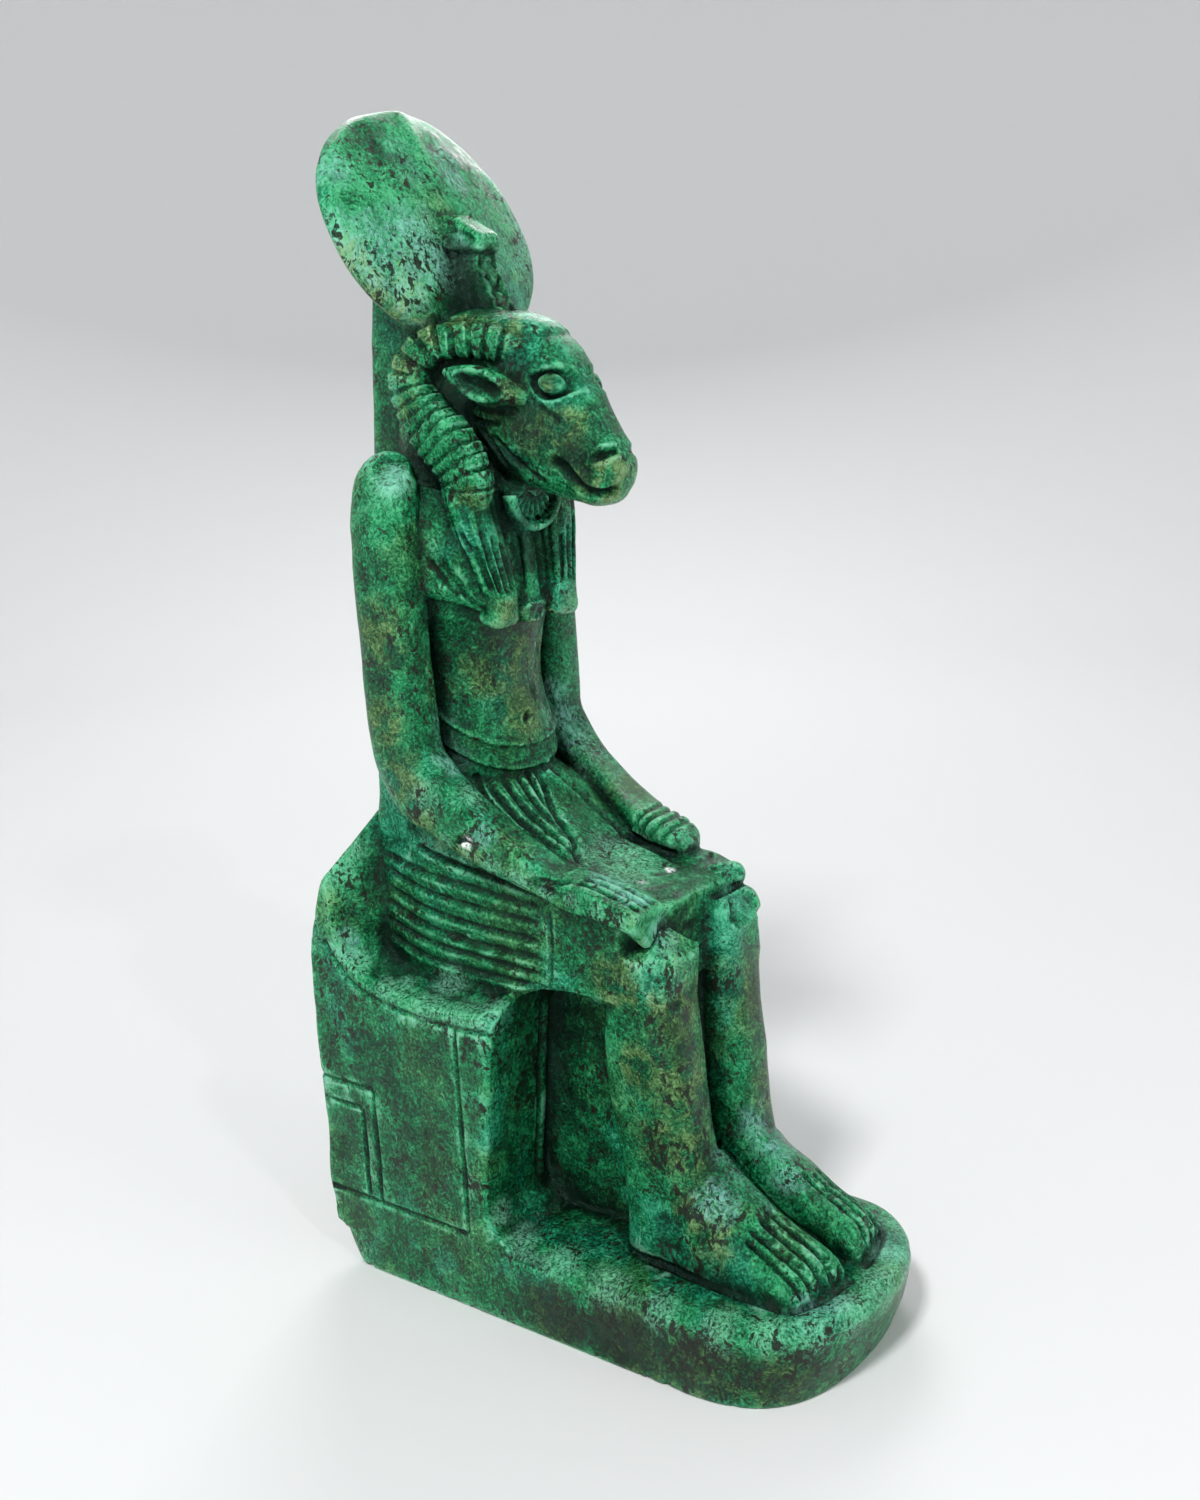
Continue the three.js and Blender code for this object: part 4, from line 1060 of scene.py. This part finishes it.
def fillBlock():
    # a grid of small cells, one where there is stone and nought where there is air
    block = surface()
    step = room["step"]
    low = np.array(room["low"], float) - room["margin"]
    size = np.ceil((np.array(room["high"]) + room["margin"] - low) / step).astype(int)
    cells = np.zeros(size, np.float32)
    down = Vector((0, 0, -1))
    for i in range(size[0]):
        for j in range(size[1]):
            x, y, top = toFrame((low[0] + (i + 0.5) * step, low[1] + (j + 0.5) * step, room["above"]))
            heights = []
            hit = block.ray_cast(Vector((x, y, top)), down)[0]
            while hit is not None and len(heights) < room["mostLayers"]:
                heights.append(hit.z / mm)
                hit = block.ray_cast(Vector((x, y, hit.z - 1e-6)), down)[0]
            for upper, lower in zip(heights[::2], heights[1::2]):
                a, b = (int(round((h - low[2]) / step)) for h in (lower, upper))
                cells[i, j, a:b] = 1
    return cells, low


def blur(cells, radius):
    # three running means along each axis come close to a soft round brush
    for axis in range(3):
        for _ in range(3):
            total = np.cumsum(cells, axis=axis, dtype=np.float64)
            total = np.concatenate([np.zeros_like(np.take(total, [0], axis)), total], axis)
            n = total.shape[axis]
            high = np.clip(np.arange(n - 1) + radius + 1, 0, n - 1)
            low = np.clip(np.arange(n - 1) - radius, 0, n - 1)
            cells = (np.take(total, high, axis) - np.take(total, low, axis)) / (2 * radius + 1)
    return cells


def sample(cells, low, spots):
    p = (spots - low) / room["step"] - 0.5
    cell = np.clip(np.floor(p).astype(int), 0, np.array(cells.shape) - 2)
    f = np.clip(p - cell, 0, 1)
    total = np.zeros(len(spots))
    for corner in range(8):
        d = np.array([corner & 1, corner >> 1 & 1, corner >> 2])
        total += cells[tuple((cell + d).T)] * np.where(d, f, 1 - f).prod(1)
    return total


# Patches that differ from the rest: x, y, z, size. Some are worn paler and partly painted highlight, some are
# painted light or painted shade, iron stains stay, and knocks leave bare stone. Right-hand patches are
# repeated fainter on the left.

patches = {
    "olive": [(-10, -13, 272, 6), (-15, -3, 275, 6), (-20, 6, 272, 6), (-24, 11, 265, 6), (-24, 9, 255, 5),
              (-7, -36, 233, 5), (-3, -43, 236, 4), (-1, -32, 227.5, 5), (-4, -40, 230, 5),
              (-14, -17, 257, 5), (-20, -8, 230, 5), (-36, 18, 292, 6), (-31, 15, 283, 6), (-26, 12, 277, 5),
              (-12.8, -9, 198, 5), (-24, -71, 42, 6), (-24, -77, 36, 7), (3, -3, 184, 13), (6, -2, 194, 8),
              (-39, 13, 172, 8), (-39, 9, 156, 8), (-36, -10, 137, 6), (-20, -66, 92, 7), (-14, -12, 252, 4),
              (-10.4, -27, 258.3, 3), (30, -18, 138, 7), (-12, -22, 247, 7), (-11, -29, 243, 6),
              (-10, -33, 248, 5), (-8, -38, 235, 5), (-21, -67, 95, 10), (-20, -69, 76, 11),
              (-20, -70, 58, 10), (-25, -58, 80, 9), (-24, -62, 60, 9), (-2, -4, 170, 10), (-12, -4, 182, 9),
              (-40, -60, 9, 12), (-40, -84, 9, 12), (-34, -103, 8, 10), (-40, -34, 8, 9), (-26, -52, 106, 9),
              (-39, 14, 196, 9), (-34, 4, 142, 8), (-8, -64, 98, 7), (20, -66, 90, 12), (20, -70, 62, 12)],
    "brown": [(-24.8, 9, 263.6, 3), (-12, -22, 249, 3), (-11, -25.5, 245, 2.6), (-18, 21.9, 319.5, 3.4),
              (-9, 20.5, 319.3, 3), (-17.5, 19.5, 315.4, 3), (-25.7, 19.5, 312.6, 3), (-23.8, 18.3, 311, 3),
              (-37.6, 20, 305, 3.6), (-32, -36, 128.6, 3), (-31.6, -42, 126.4, 3), (-31, -48, 124.6, 3),
              (-30.4, -54, 122.6, 3), (-24, -65.6, 107, 3), (-20, -66.4, 103, 2.6), (-24, -71, 43, 3),
              (-24.6, -76, 37, 3.6), (-40, -56, 15, 4), (-40, -68, 12, 4), (-40, -84, 14, 5),
              (-37, -97, 12, 5), (-40, -40, 12, 8), (-40, -76, 13, 9), (-36, -102, 11, 9), (-28, -110, 12, 6),
              (-22, -67, 80, 8), (-14, -70, 66, 7), (-24, -60, 60, 6), (-40, -10, 40, 5), (-34, -10, 50, 6),
              (9.6, -97, 36, 2), (-38.4, 6, 149, 3.4), (-39, 10, 222, 2.6), (-27, -50, 103, 3.6),
              (-34, 2, 143, 3), (-35.6, -7, 139, 3), (-40, 20, 40, 4)],
    # partly scoured stone, partly painted highlight on the disc, the hands, the knee, the feet and the far
    # elbow
    "pale": [(-33, 23, 315, 6), (-37, 17, 299, 6), (-30, 13, 295, 8), (-18, 11.5, 298, 10),
             (-30, 11.8, 290, 8), (-23, 8, 283, 8), (-13, 8, 291, 8), (-4.7, 5, 296, 3.4),
             (-22, -48, 129.6, 5), (-22, -55, 127, 5), (-20, -43, 131, 4), (25.6, 7, 168, 6),
             (25.5, 4, 160, 7), (25, 0, 155, 5), (-38, 37, 103, 5), (-18, -62, 117, 6), (10, -71, 54, 5),
             (9, -76, 48, 5), (6, -83, 42, 5), (-21, -105, 24, 4), (-15, -109, 24, 4), (-34, 7, 236, 5),
             (8, 17.5, 314.7, 5), (9, 21, 321, 5), (-19, -76, 45, 6), (-30, 1, 158, 5), (-35, -16, 142, 4)],
    # partly worn stone, partly painted highlight on the seat rim, the base's edge, the shoulders, the
    # forearm, the disc and the lap
    "bright": [(-38, 34, 99, 5), (-37, 20, 93, 6), (-38, 6, 91.4, 6), (-38, -6, 91.6, 6), (-36, -14, 92, 6),
               (-30, 6, 94, 6), (-36, -14, 31, 4), (-34, -20, 23.6, 6), (-36, -35, 23.6, 6),
               (-38, -52, 23, 6), (-38.5, -70, 21, 6), (-37, -88, 21.4, 6), (-34, -100, 21.6, 6),
               (-26, -109, 22, 6), (-14, -113, 22, 7), (0, -115, 22, 7), (14, -113, 22, 7), (30, -106, 22, 7),
               (-34, 9, 234, 6), (-33, 2, 152, 6), (-30, -6, 148, 6), (-22, -3, 142, 6), (-13, 9, 299, 8),
               (-8, 8, 290, 8), (-37, 40, 124, 5), (-37.5, -4, 140, 3), (-36.4, -10.5, 137, 3),
               (-35, -18, 133.6, 3), (-33.6, -26, 130.4, 3), (-32.4, -34, 127.8, 3), (-31.4, -42, 127.4, 2.6),
               (-31, -50, 125.4, 2.6), (-30.6, -57, 123, 2.6), (-34, 37, 131, 5), (4, -34, 130, 10),
               (-6, -42, 127, 7)],
    # painted light on the knee tops, the disc, the seat rim, the lap and the top of the throne's back
    "light": [(-17, -62, 118, 9), (-25, -61, 114, 6), (-20, 15, 305, 16), (-10, 14, 306, 14),
              (10, 16, 308, 14), (-26, 18, 312, 13), (15, 14, 296, 13), (0, 21, 322, 12), (-30, 14, 298, 12),
              (-20, 9, 286, 10), (28, 18, 306, 14), (-36, 34, 100, 8), (-37, 14, 94, 8), (-36, -6, 94, 8),
              (2, -38, 130, 10), (-38, 39, 122, 8)],
    # painted shade on the eye, the side of the head and muzzle, the base's sides and a shin
    "dim": [(-10.4, -27, 258.3, 3.4), (-12, -22, 247, 9), (-9, -32, 240, 8), (-14, -14, 250, 7),
            (-40, -60, 9, 15), (-40, -86, 9, 14), (-40, -34, 9, 12), (-32, -106, 8, 12), (-12, -20, 262, 6),
            (-20, -66, 90, 8)],
    "bare": [(-36.4, -10.5, 139.8, 2.0), (6.4, -47, 125.8, 1.4)],
    # painted shadow in the recesses behind the cobra, between the lappets, in the mouth, the nostrils and the
    # ear
    "deepShade": [(-6, 3, 284, 7), (-6, -2, 277, 6), (-6, 6, 291, 6), (6, 3, 284, 8), (6, -2, 276, 7),
             (-9, -9, 222, 6), (-8, -10, 212, 6), (0, -9, 212, 6), (-10, -30, 237, 2.4),
             (-7, -36, 231.6, 2.4), (-11, -12, 238, 6), (-12, -6, 246, 5), (-22.6, -8.6, 260, 2.6),
             (-20.6, -12, 258.8, 3), (-18.6, -15, 257.6, 2.2), (-16, -1, 254, 5), (-12.6, -9, 226, 4)]}


def markPatches(spots, rows):
    total = np.zeros(len(spots))
    ragged = 0.3 * lumps(spots, size=4, seed=11) + 0.22 * lumps(spots, size=1.7, seed=12)
    for x, y, z, size in rows:
        for side, strength in ((1, 1.0), (-1, 0.45)):
            if side < 0 and abs(x) < 3:
                continue
            chosen = near(spots, np.array([[x * side, y, z]]), size * 1.6)
            away = np.linalg.norm(spots[chosen] - (x * side, y, z), axis=1) / size
            strong = strength * smoothStep(1.25 - away + ragged[chosen], 0, 0.7)
            total[chosen] = np.maximum(total[chosen], strong)
    return total


def measureHollows():
    # above nought in a hollow and below it on an edge: three turns of smoothing find the fine
    # ones, twelve the broad ones
    edges, counts = neighbours()
    smooth = points.copy()
    hollows = {}
    for turn in range(1, 13):
        smooth = 0.4 * smooth + 0.6 * neighbourMean(smooth, edges, counts)
        hollows[turn] = ((smooth - points) * normals).sum(1)
    return {"fineHollow": hollows[3], "broadHollow": hollows[12]}


def markSurface():
    marks = measureHollows()
    cells, low = fillBlock()
    # how full of stone the room just off the surface is; nook and shade are used to paint shade into the
    # hollows
    marks["nook"] = sample(blur(cells, radius=1), low, points + normals * 1.0)
    marks["shade"] = sample(blur(cells, radius=4), low, points + normals * 3.0)
    for name, rows in patches.items():
        marks[name] = markPatches(points, rows)
    for name, values in marks.items():
        layer = statue.data.attributes.new(name, "FLOAT", "POINT")
        layer.data.foreach_set("value", values.astype(np.float32))


points, normals = readPoints(), readNormals()
markSurface()
report("surface marked for the finish")


# Stone: serpentine, hand carved, oiled and waxed. Its colour drifts through the block from emerald
# to olive and teal, with a mottled grain of a millimetre or two and brown iron stains of two to four.
# Painted shade darkens the hollows and creases, painted light and shade brighten proud parts and darken
# others, the edges are lighter, partly worn by handling and partly painted highlight, and the gloss is
# broken.

finish = {
    # five colours each, from the darkest grain to the lightest, and the tones where they stand
    "emerald": ["#010d07", "#032b17", "#074f2c", "#17814d", "#50b980"],
    "olive": ["#050d05", "#102f14", "#1d5327", "#3d7e45", "#86b57a"],
    "teal": ["#010f0c", "#023326", "#075c45", "#1a896b", "#60bf9f"],
    "rust": ["#0a0e06", "#1c2810", "#35461e", "#5f6f36", "#98a26a"],
    "stops": [0.37, 0.445, 0.505, 0.57, 0.67],
    # the worn and ochre colours are partly worn stone and partly painted highlight, and the scoured one is
    # partly scoured stone and partly painted highlight
    "stain": "#1a0f0a", "worn": "#86cfae", "ochre": "#aab07c", "scouredAndSheen": "#8fd0c4", "bare": "#eef2ee",
    # the near-black green below is painted shade for the hollows and creases
    "paintedShade": "#010805", "sheen": "#a8ecd2",
    # sizes in millimetres of what makes the pattern
    "grain": 0.85, "scratch": 1.1, "fleck": 1.2, "stainSize": 2.4, "cloud": 4.6, "wander": 6, "crowd": 19,
    "drift": 34, "olivePatch": 27.2, "wanderBy": 4, "relief": 1.1,
    "ior": 1.54, "specular": 0.36, "roughness": (0.1, 0.32), "bump": 0.6,
    # how much each makes of the tone
    "grainShare": 0.6, "cloudShare": 0.28, "driftShare": 0.12,
    # mark, where it starts, where it is full, and what it does then: painted light makes proud parts and
    # the light patches lighter, painted shade makes hollows and the dim patches darker, and painted shade in
    # a near-black green fills the hollows, the creases and the deep shade patches
    "paintedLightAndShadeMarks": [("shade", 0.1, 0.75, -0.15), ("broadHollow", 0.3, -0.5, 0.11), ("light", 0, 1, 0.075),
                  ("dim", 0, 1, -0.07)],
    "paintedShadeMarks": [("shade", 0.36, 0.74, 0.88), ("nook", 0.4, 0.66, 0.85), ("fineHollow", 0.09, 0.26, 0.93),
                 ("deepShade", 0, 1, 0.8)]}


def linear(hexColour):
    parts = [int(hexColour[k:k + 2], 16) / 255 for k in (1, 3, 5)]
    return tuple(p / 12.92 if p <= 0.04045 else ((p + 0.055) / 1.055) ** 2.4 for p in parts) + (1,)


serpentine = bpy.data.materials.new("waxed serpentine")
serpentine.use_nodes = True
tree = serpentine.node_tree
tree.nodes.clear()


def addNode(kind, sockets, **properties):
    # a socket takes a value or another node's output
    node = tree.nodes.new(kind)
    for name, value in properties.items():
        setattr(node, name, value)
    for name, value in sockets.items():
        if isinstance(value, bpy.types.NodeSocket):
            tree.links.new(value, node.inputs[name])
        else:
            node.inputs[name].default_value = value
    return node


def perMetre(sizeInMillimetres):
    return 1 / (sizeInMillimetres * mm)


def noise(size, where, seed, detail, roughness=0.6):
    # each pattern is read from its own part of the stone
    apart = addNode("ShaderNodeVectorMath", {0: where, 1: (0.137 * seed,) * 3}).outputs[0]
    return addNode("ShaderNodeTexNoise", {"Vector": apart, "Scale": perMetre(size), "Detail": detail,
                                          "Roughness": roughness})


def plus(a, b):
    return addNode("ShaderNodeMath", {0: a, 1: b}, operation="ADD").outputs[0]


def times(a, b):
    return addNode("ShaderNodeMath", {0: a, 1: b}, operation="MULTIPLY", use_clamp=True).outputs[0]


def mark(name, low=0.0, high=1.0, most=1.0):
    # one of the marks on the surface, from nought at low to most at high
    value = addNode("ShaderNodeAttribute", {}, attribute_name=name).outputs["Fac"]
    return addNode("ShaderNodeMapRange", {0: value, 1: low, 2: high, 3: 0.0, 4: most}).outputs[0]


def threshold(value, low, high, most=1.0):
    return addNode("ShaderNodeMapRange", {0: value, 1: low, 2: high, 3: 0.0, 4: most},
                   interpolation_type="SMOOTHSTEP").outputs[0]


def ramp(value, colours):
    node = addNode("ShaderNodeValToRGB", {0: value})
    elements = node.color_ramp.elements
    while len(elements) < len(colours):
        elements.new(0.5)
    for element, position, colour in zip(elements, finish["stops"], colours):
        element.position = position
        element.color = linear(colour)
    return node.outputs[0]


def mix(factor, a, b):
    return addNode("ShaderNodeMix", {0: factor, 6: a, 7: b}, data_type="RGBA").outputs[2]


def groundPatterns():
    # the grain wanders a little, so that no pattern lies straight
    place = addNode("ShaderNodeTexCoord", {}).outputs["Object"]
    wander = noise(finish["wander"], place, seed=1, detail=2).outputs[1]
    bent = addNode("ShaderNodeVectorMath", {0: wander, 1: (finish["wanderBy"] * mm,) * 3, 2: place},
                   operation="MULTIPLY_ADD").outputs[0]
    return {"bent": bent,
            "grain": noise(finish["grain"], bent, seed=2, detail=5, roughness=0.72).outputs[0],
            "cloud": noise(finish["cloud"], bent, seed=3, detail=4).outputs[0],
            "drift": noise(finish["drift"], place, seed=4, detail=3).outputs[0],
            "olivePatch": noise(finish["olivePatch"], place, seed=5, detail=3).outputs[0],
            "crowd": noise(finish["crowd"], place, seed=7, detail=2).outputs[0]}


def stoneColour(pattern, rusty):
    # emerald that drifts to olive and teal, and the rusty patches
    tone = plus(times(pattern["grain"], finish["grainShare"]), times(pattern["cloud"], finish["cloudShare"]))
    tone = plus(tone, times(pattern["drift"], finish["driftShare"]))
    # painted shade in the hollows and on the dim patches, painted light on proud parts and on the light
    # patches
    for name, low, high, most in finish["paintedLightAndShadeMarks"]:
        tone = plus(tone, mark(name, low, high, most))
    olive = threshold(pattern["olivePatch"], low=0.5, high=0.62, most=0.6)
    colour = mix(olive, ramp(tone, finish["emerald"]), ramp(tone, finish["olive"]))
    teal = threshold(pattern["drift"], low=0.52, high=0.64, most=0.6)
    colour = mix(teal, colour, ramp(tone, finish["teal"]))
    return mix(rusty, colour, ramp(tone, finish["rust"]))


def addWear(colour, pattern, rusty):
    # pale turquoise on edges and rims, partly worn stone and partly painted highlight, kept off the dim
    # patches, and grey patches that are partly scoured and partly painted highlight
    edge = times(mark("fineHollow", low=-0.1, high=-0.3, most=0.8),
                 threshold(pattern["cloud"], low=0.34, high=0.54, most=0.9))
    edge = times(times(edge, mark("broadHollow", low=0, high=-0.35)), mark("dim", low=1, high=0))
    colour = mix(edge, colour, mix(rusty, linear(finish["worn"]), linear(finish["ochre"])))
    # bright patches: partly worn stone, partly painted highlight on tops and edges
    worn = times(mark("bright", most=0.6), threshold(pattern["grain"], low=0.36, high=0.66))
    colour = mix(worn, colour, linear(finish["worn"]))
    streaks = addNode("ShaderNodeMapping", {"Vector": pattern["bent"], "Rotation": (0.7, 0.2, 0.3),
                                            "Scale": (1.0, 1.0, 0.5)}).outputs[0]
    scratches = noise(finish["scratch"], streaks, seed=6, detail=4, roughness=0.7).outputs[0]
    # pale patches: partly scoured stone and partly painted highlight, streaked
    scouredAndSheen = times(mark("pale", most=0.62), threshold(scratches, low=0.36, high=0.68))
    return mix(scouredAndSheen, colour, linear(finish["scouredAndSheen"]))


def addStains(colour, pattern):
    # iron stains, crowded in some places, and finer flecks between them
    crowd = plus(threshold(pattern["crowd"], low=0.42, high=0.6, most=0.09), mark("brown", most=0.09))
    upright = addNode("ShaderNodeMapping", {"Vector": pattern["bent"], "Scale": (1.0, 1.0, 0.72)}).outputs[0]
    stains = plus(noise(finish["stainSize"], upright, seed=8, detail=3).outputs[0], crowd)
    flecks = plus(noise(finish["fleck"], upright, seed=9, detail=2, roughness=0.5).outputs[0], crowd)
    colour = mix(threshold(stains, low=0.672, high=0.69, most=0.94), colour, linear(finish["stain"]))
    return mix(threshold(flecks, low=0.665, high=0.71, most=0.85), colour, linear(finish["stain"]))


def addBareStoneAndPaintedShade(colour, pattern):
    # bare stone where it was knocked, and painted shade in the hollows, the creases and the deep shade
    # patches
    bare = times(mark("bare", low=0.1, high=0.7), threshold(pattern["grain"], low=0.4, high=0.5))
    colour = mix(bare, colour, linear(finish["bare"]))
    for name, low, high, most in finish["paintedShadeMarks"]:
        colour = mix(mark(name, low, high, most), colour, linear(finish["paintedShade"]))
    return colour


def finishStone():
    pattern = groundPatterns()
    rusty = times(mark("olive", most=0.66), threshold(pattern["cloud"], low=0.36, high=0.54))
    colour = stoneColour(pattern, rusty)
    colour = addWear(colour, pattern, rusty)
    colour = addStains(colour, pattern)
    colour = addBareStoneAndPaintedShade(colour, pattern)
    smooth, dull = finish["roughness"]
    rough = addNode("ShaderNodeMapRange", {0: pattern["cloud"], 1: 0.36, 2: 0.62, 3: smooth, 4: dull})
    relief = addNode("ShaderNodeBump", {"Strength": finish["bump"], "Distance": finish["relief"] * mm,
                                        "Height": pattern["grain"]})
    shader = addNode("ShaderNodeBsdfPrincipled", {
        "IOR": finish["ior"], "Specular IOR Level": finish["specular"],
        "Specular Tint": linear(finish["sheen"]), "Base Color": colour,
        "Roughness": rough.outputs[0], "Normal": relief.outputs[0]})
    addNode("ShaderNodeOutputMaterial", {"Surface": shader.outputs[0]})


finishStone()
statue.data.materials.clear()
statue.data.materials.append(serpentine)
deselectAll()
statue.select_set(True)
bpy.context.view_layer.objects.active = statue
bpy.ops.object.shade_smooth()
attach(statue, "root")
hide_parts("khnum_statue")
report("stone finished")


# Studio: a pale paper bowl that sweeps up all round, soft lights, and the photograph's camera

studio = {"sweep": [(0.0, 0.0), (0.9, 0.0), (1.2, 0.04), (1.45, 0.18), (1.62, 0.42), (1.7, 0.75), (1.72, 1.2),
                    (1.72, 2.0)],  # radius and height of the paper in metres
          "paper": "#dedfdf", "sky": "#e4e7ea", "skyStrength": 0.4,
          # name, place in metres, size in metres, watts
          "lights": [("key", (-0.9, -0.2, 1.3), 0.24, 17), ("small light", (-0.45, -0.95, 1.0), 0.06, 2.2),
                     ("front light", (0.1, -1.3, 0.7), 0.5, 2.5), ("back light", (0.9, 0.7, 0.9), 0.6, 7)],
          # the camera's place, its turn in degrees, and the lens in pixels of the photograph
          "camera": (-339.0, -286.4, 258.1), "azimuth": -52.88, "down": 13.06, "roll": -2.71,
          "focal": 1583.3, "frameHeight": 1500, "sensor": 36}


def makeFloor():
    profile = refine(studio["sweep"], 4)
    deselectAll()
    bpy.ops.mesh.primitive_circle_add(vertices=96, radius=profile[1][0], fill_type="NGON")
    floor = bpy.context.object
    floor.name = "floor"
    bpy.ops.object.mode_set(mode="EDIT")
    for (radius, height), (nextRadius, nextHeight) in zip(profile[1:-1], profile[2:]):
        bpy.ops.mesh.extrude_region_move(TRANSFORM_OT_translate={"value": (0, 0, nextHeight - height)})
        bpy.ops.transform.resize(value=(nextRadius / radius, nextRadius / radius, 1))
    # the last ring's face would close the bowl
    bpy.ops.mesh.delete(type="ONLY_FACE")
    bpy.ops.object.mode_set(mode="OBJECT")
    bpy.ops.object.shade_smooth()
    paper = bpy.data.materials.new("matt paper")
    paper.use_nodes = True
    shader = paper.node_tree.nodes["Principled BSDF"]
    shader.inputs["Base Color"].default_value = linear(studio["paper"])
    shader.inputs["Roughness"].default_value = 0.9
    shader.inputs["Specular IOR Level"].default_value = 0.1
    floor.data.materials.append(paper)


def addSoftBox(name, location, size, power):
    target = (cadLow + cadHigh) / 2
    bpy.ops.object.light_add(type="AREA", location=location)
    light = bpy.context.object
    light.name = name
    light.data.size = size
    light.data.energy = power
    light.rotation_euler = (target - Vector(location)).to_track_quat("-Z", "Y").to_euler()


def addSky():
    world = bpy.data.worlds.new("studio")
    world.use_nodes = True
    sky = world.node_tree.nodes["Background"]
    sky.inputs["Color"].default_value = linear(studio["sky"])
    sky.inputs["Strength"].default_value = studio["skyStrength"]
    bpy.context.scene.world = world


def addCamera():
    bpy.ops.object.camera_add()
    camera = bpy.context.object
    camera.location = toFrame(studio["camera"])
    a, e = math.radians(studio["azimuth"]), math.radians(studio["down"])
    forward = Vector((-math.sin(a) * math.cos(e), math.cos(a) * math.cos(e), -math.sin(e)))
    roll = Quaternion((0, 0, 1), math.radians(studio["roll"]))
    camera.rotation_mode = "QUATERNION"
    camera.rotation_quaternion = forward.to_track_quat("-Z", "Y") @ roll
    camera.data.sensor_width = studio["sensor"]
    camera.data.lens = studio["focal"] * studio["sensor"] / studio["frameHeight"]
    camera.data.clip_start, camera.data.clip_end = 0.01, 20
    bpy.context.scene.camera = camera


makeFloor()
for settings in studio["lights"]:
    addSoftBox(*settings)
addSky()
addCamera()
bpy.context.scene.view_settings.view_transform = "Standard"

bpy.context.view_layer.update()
report("scene ready")
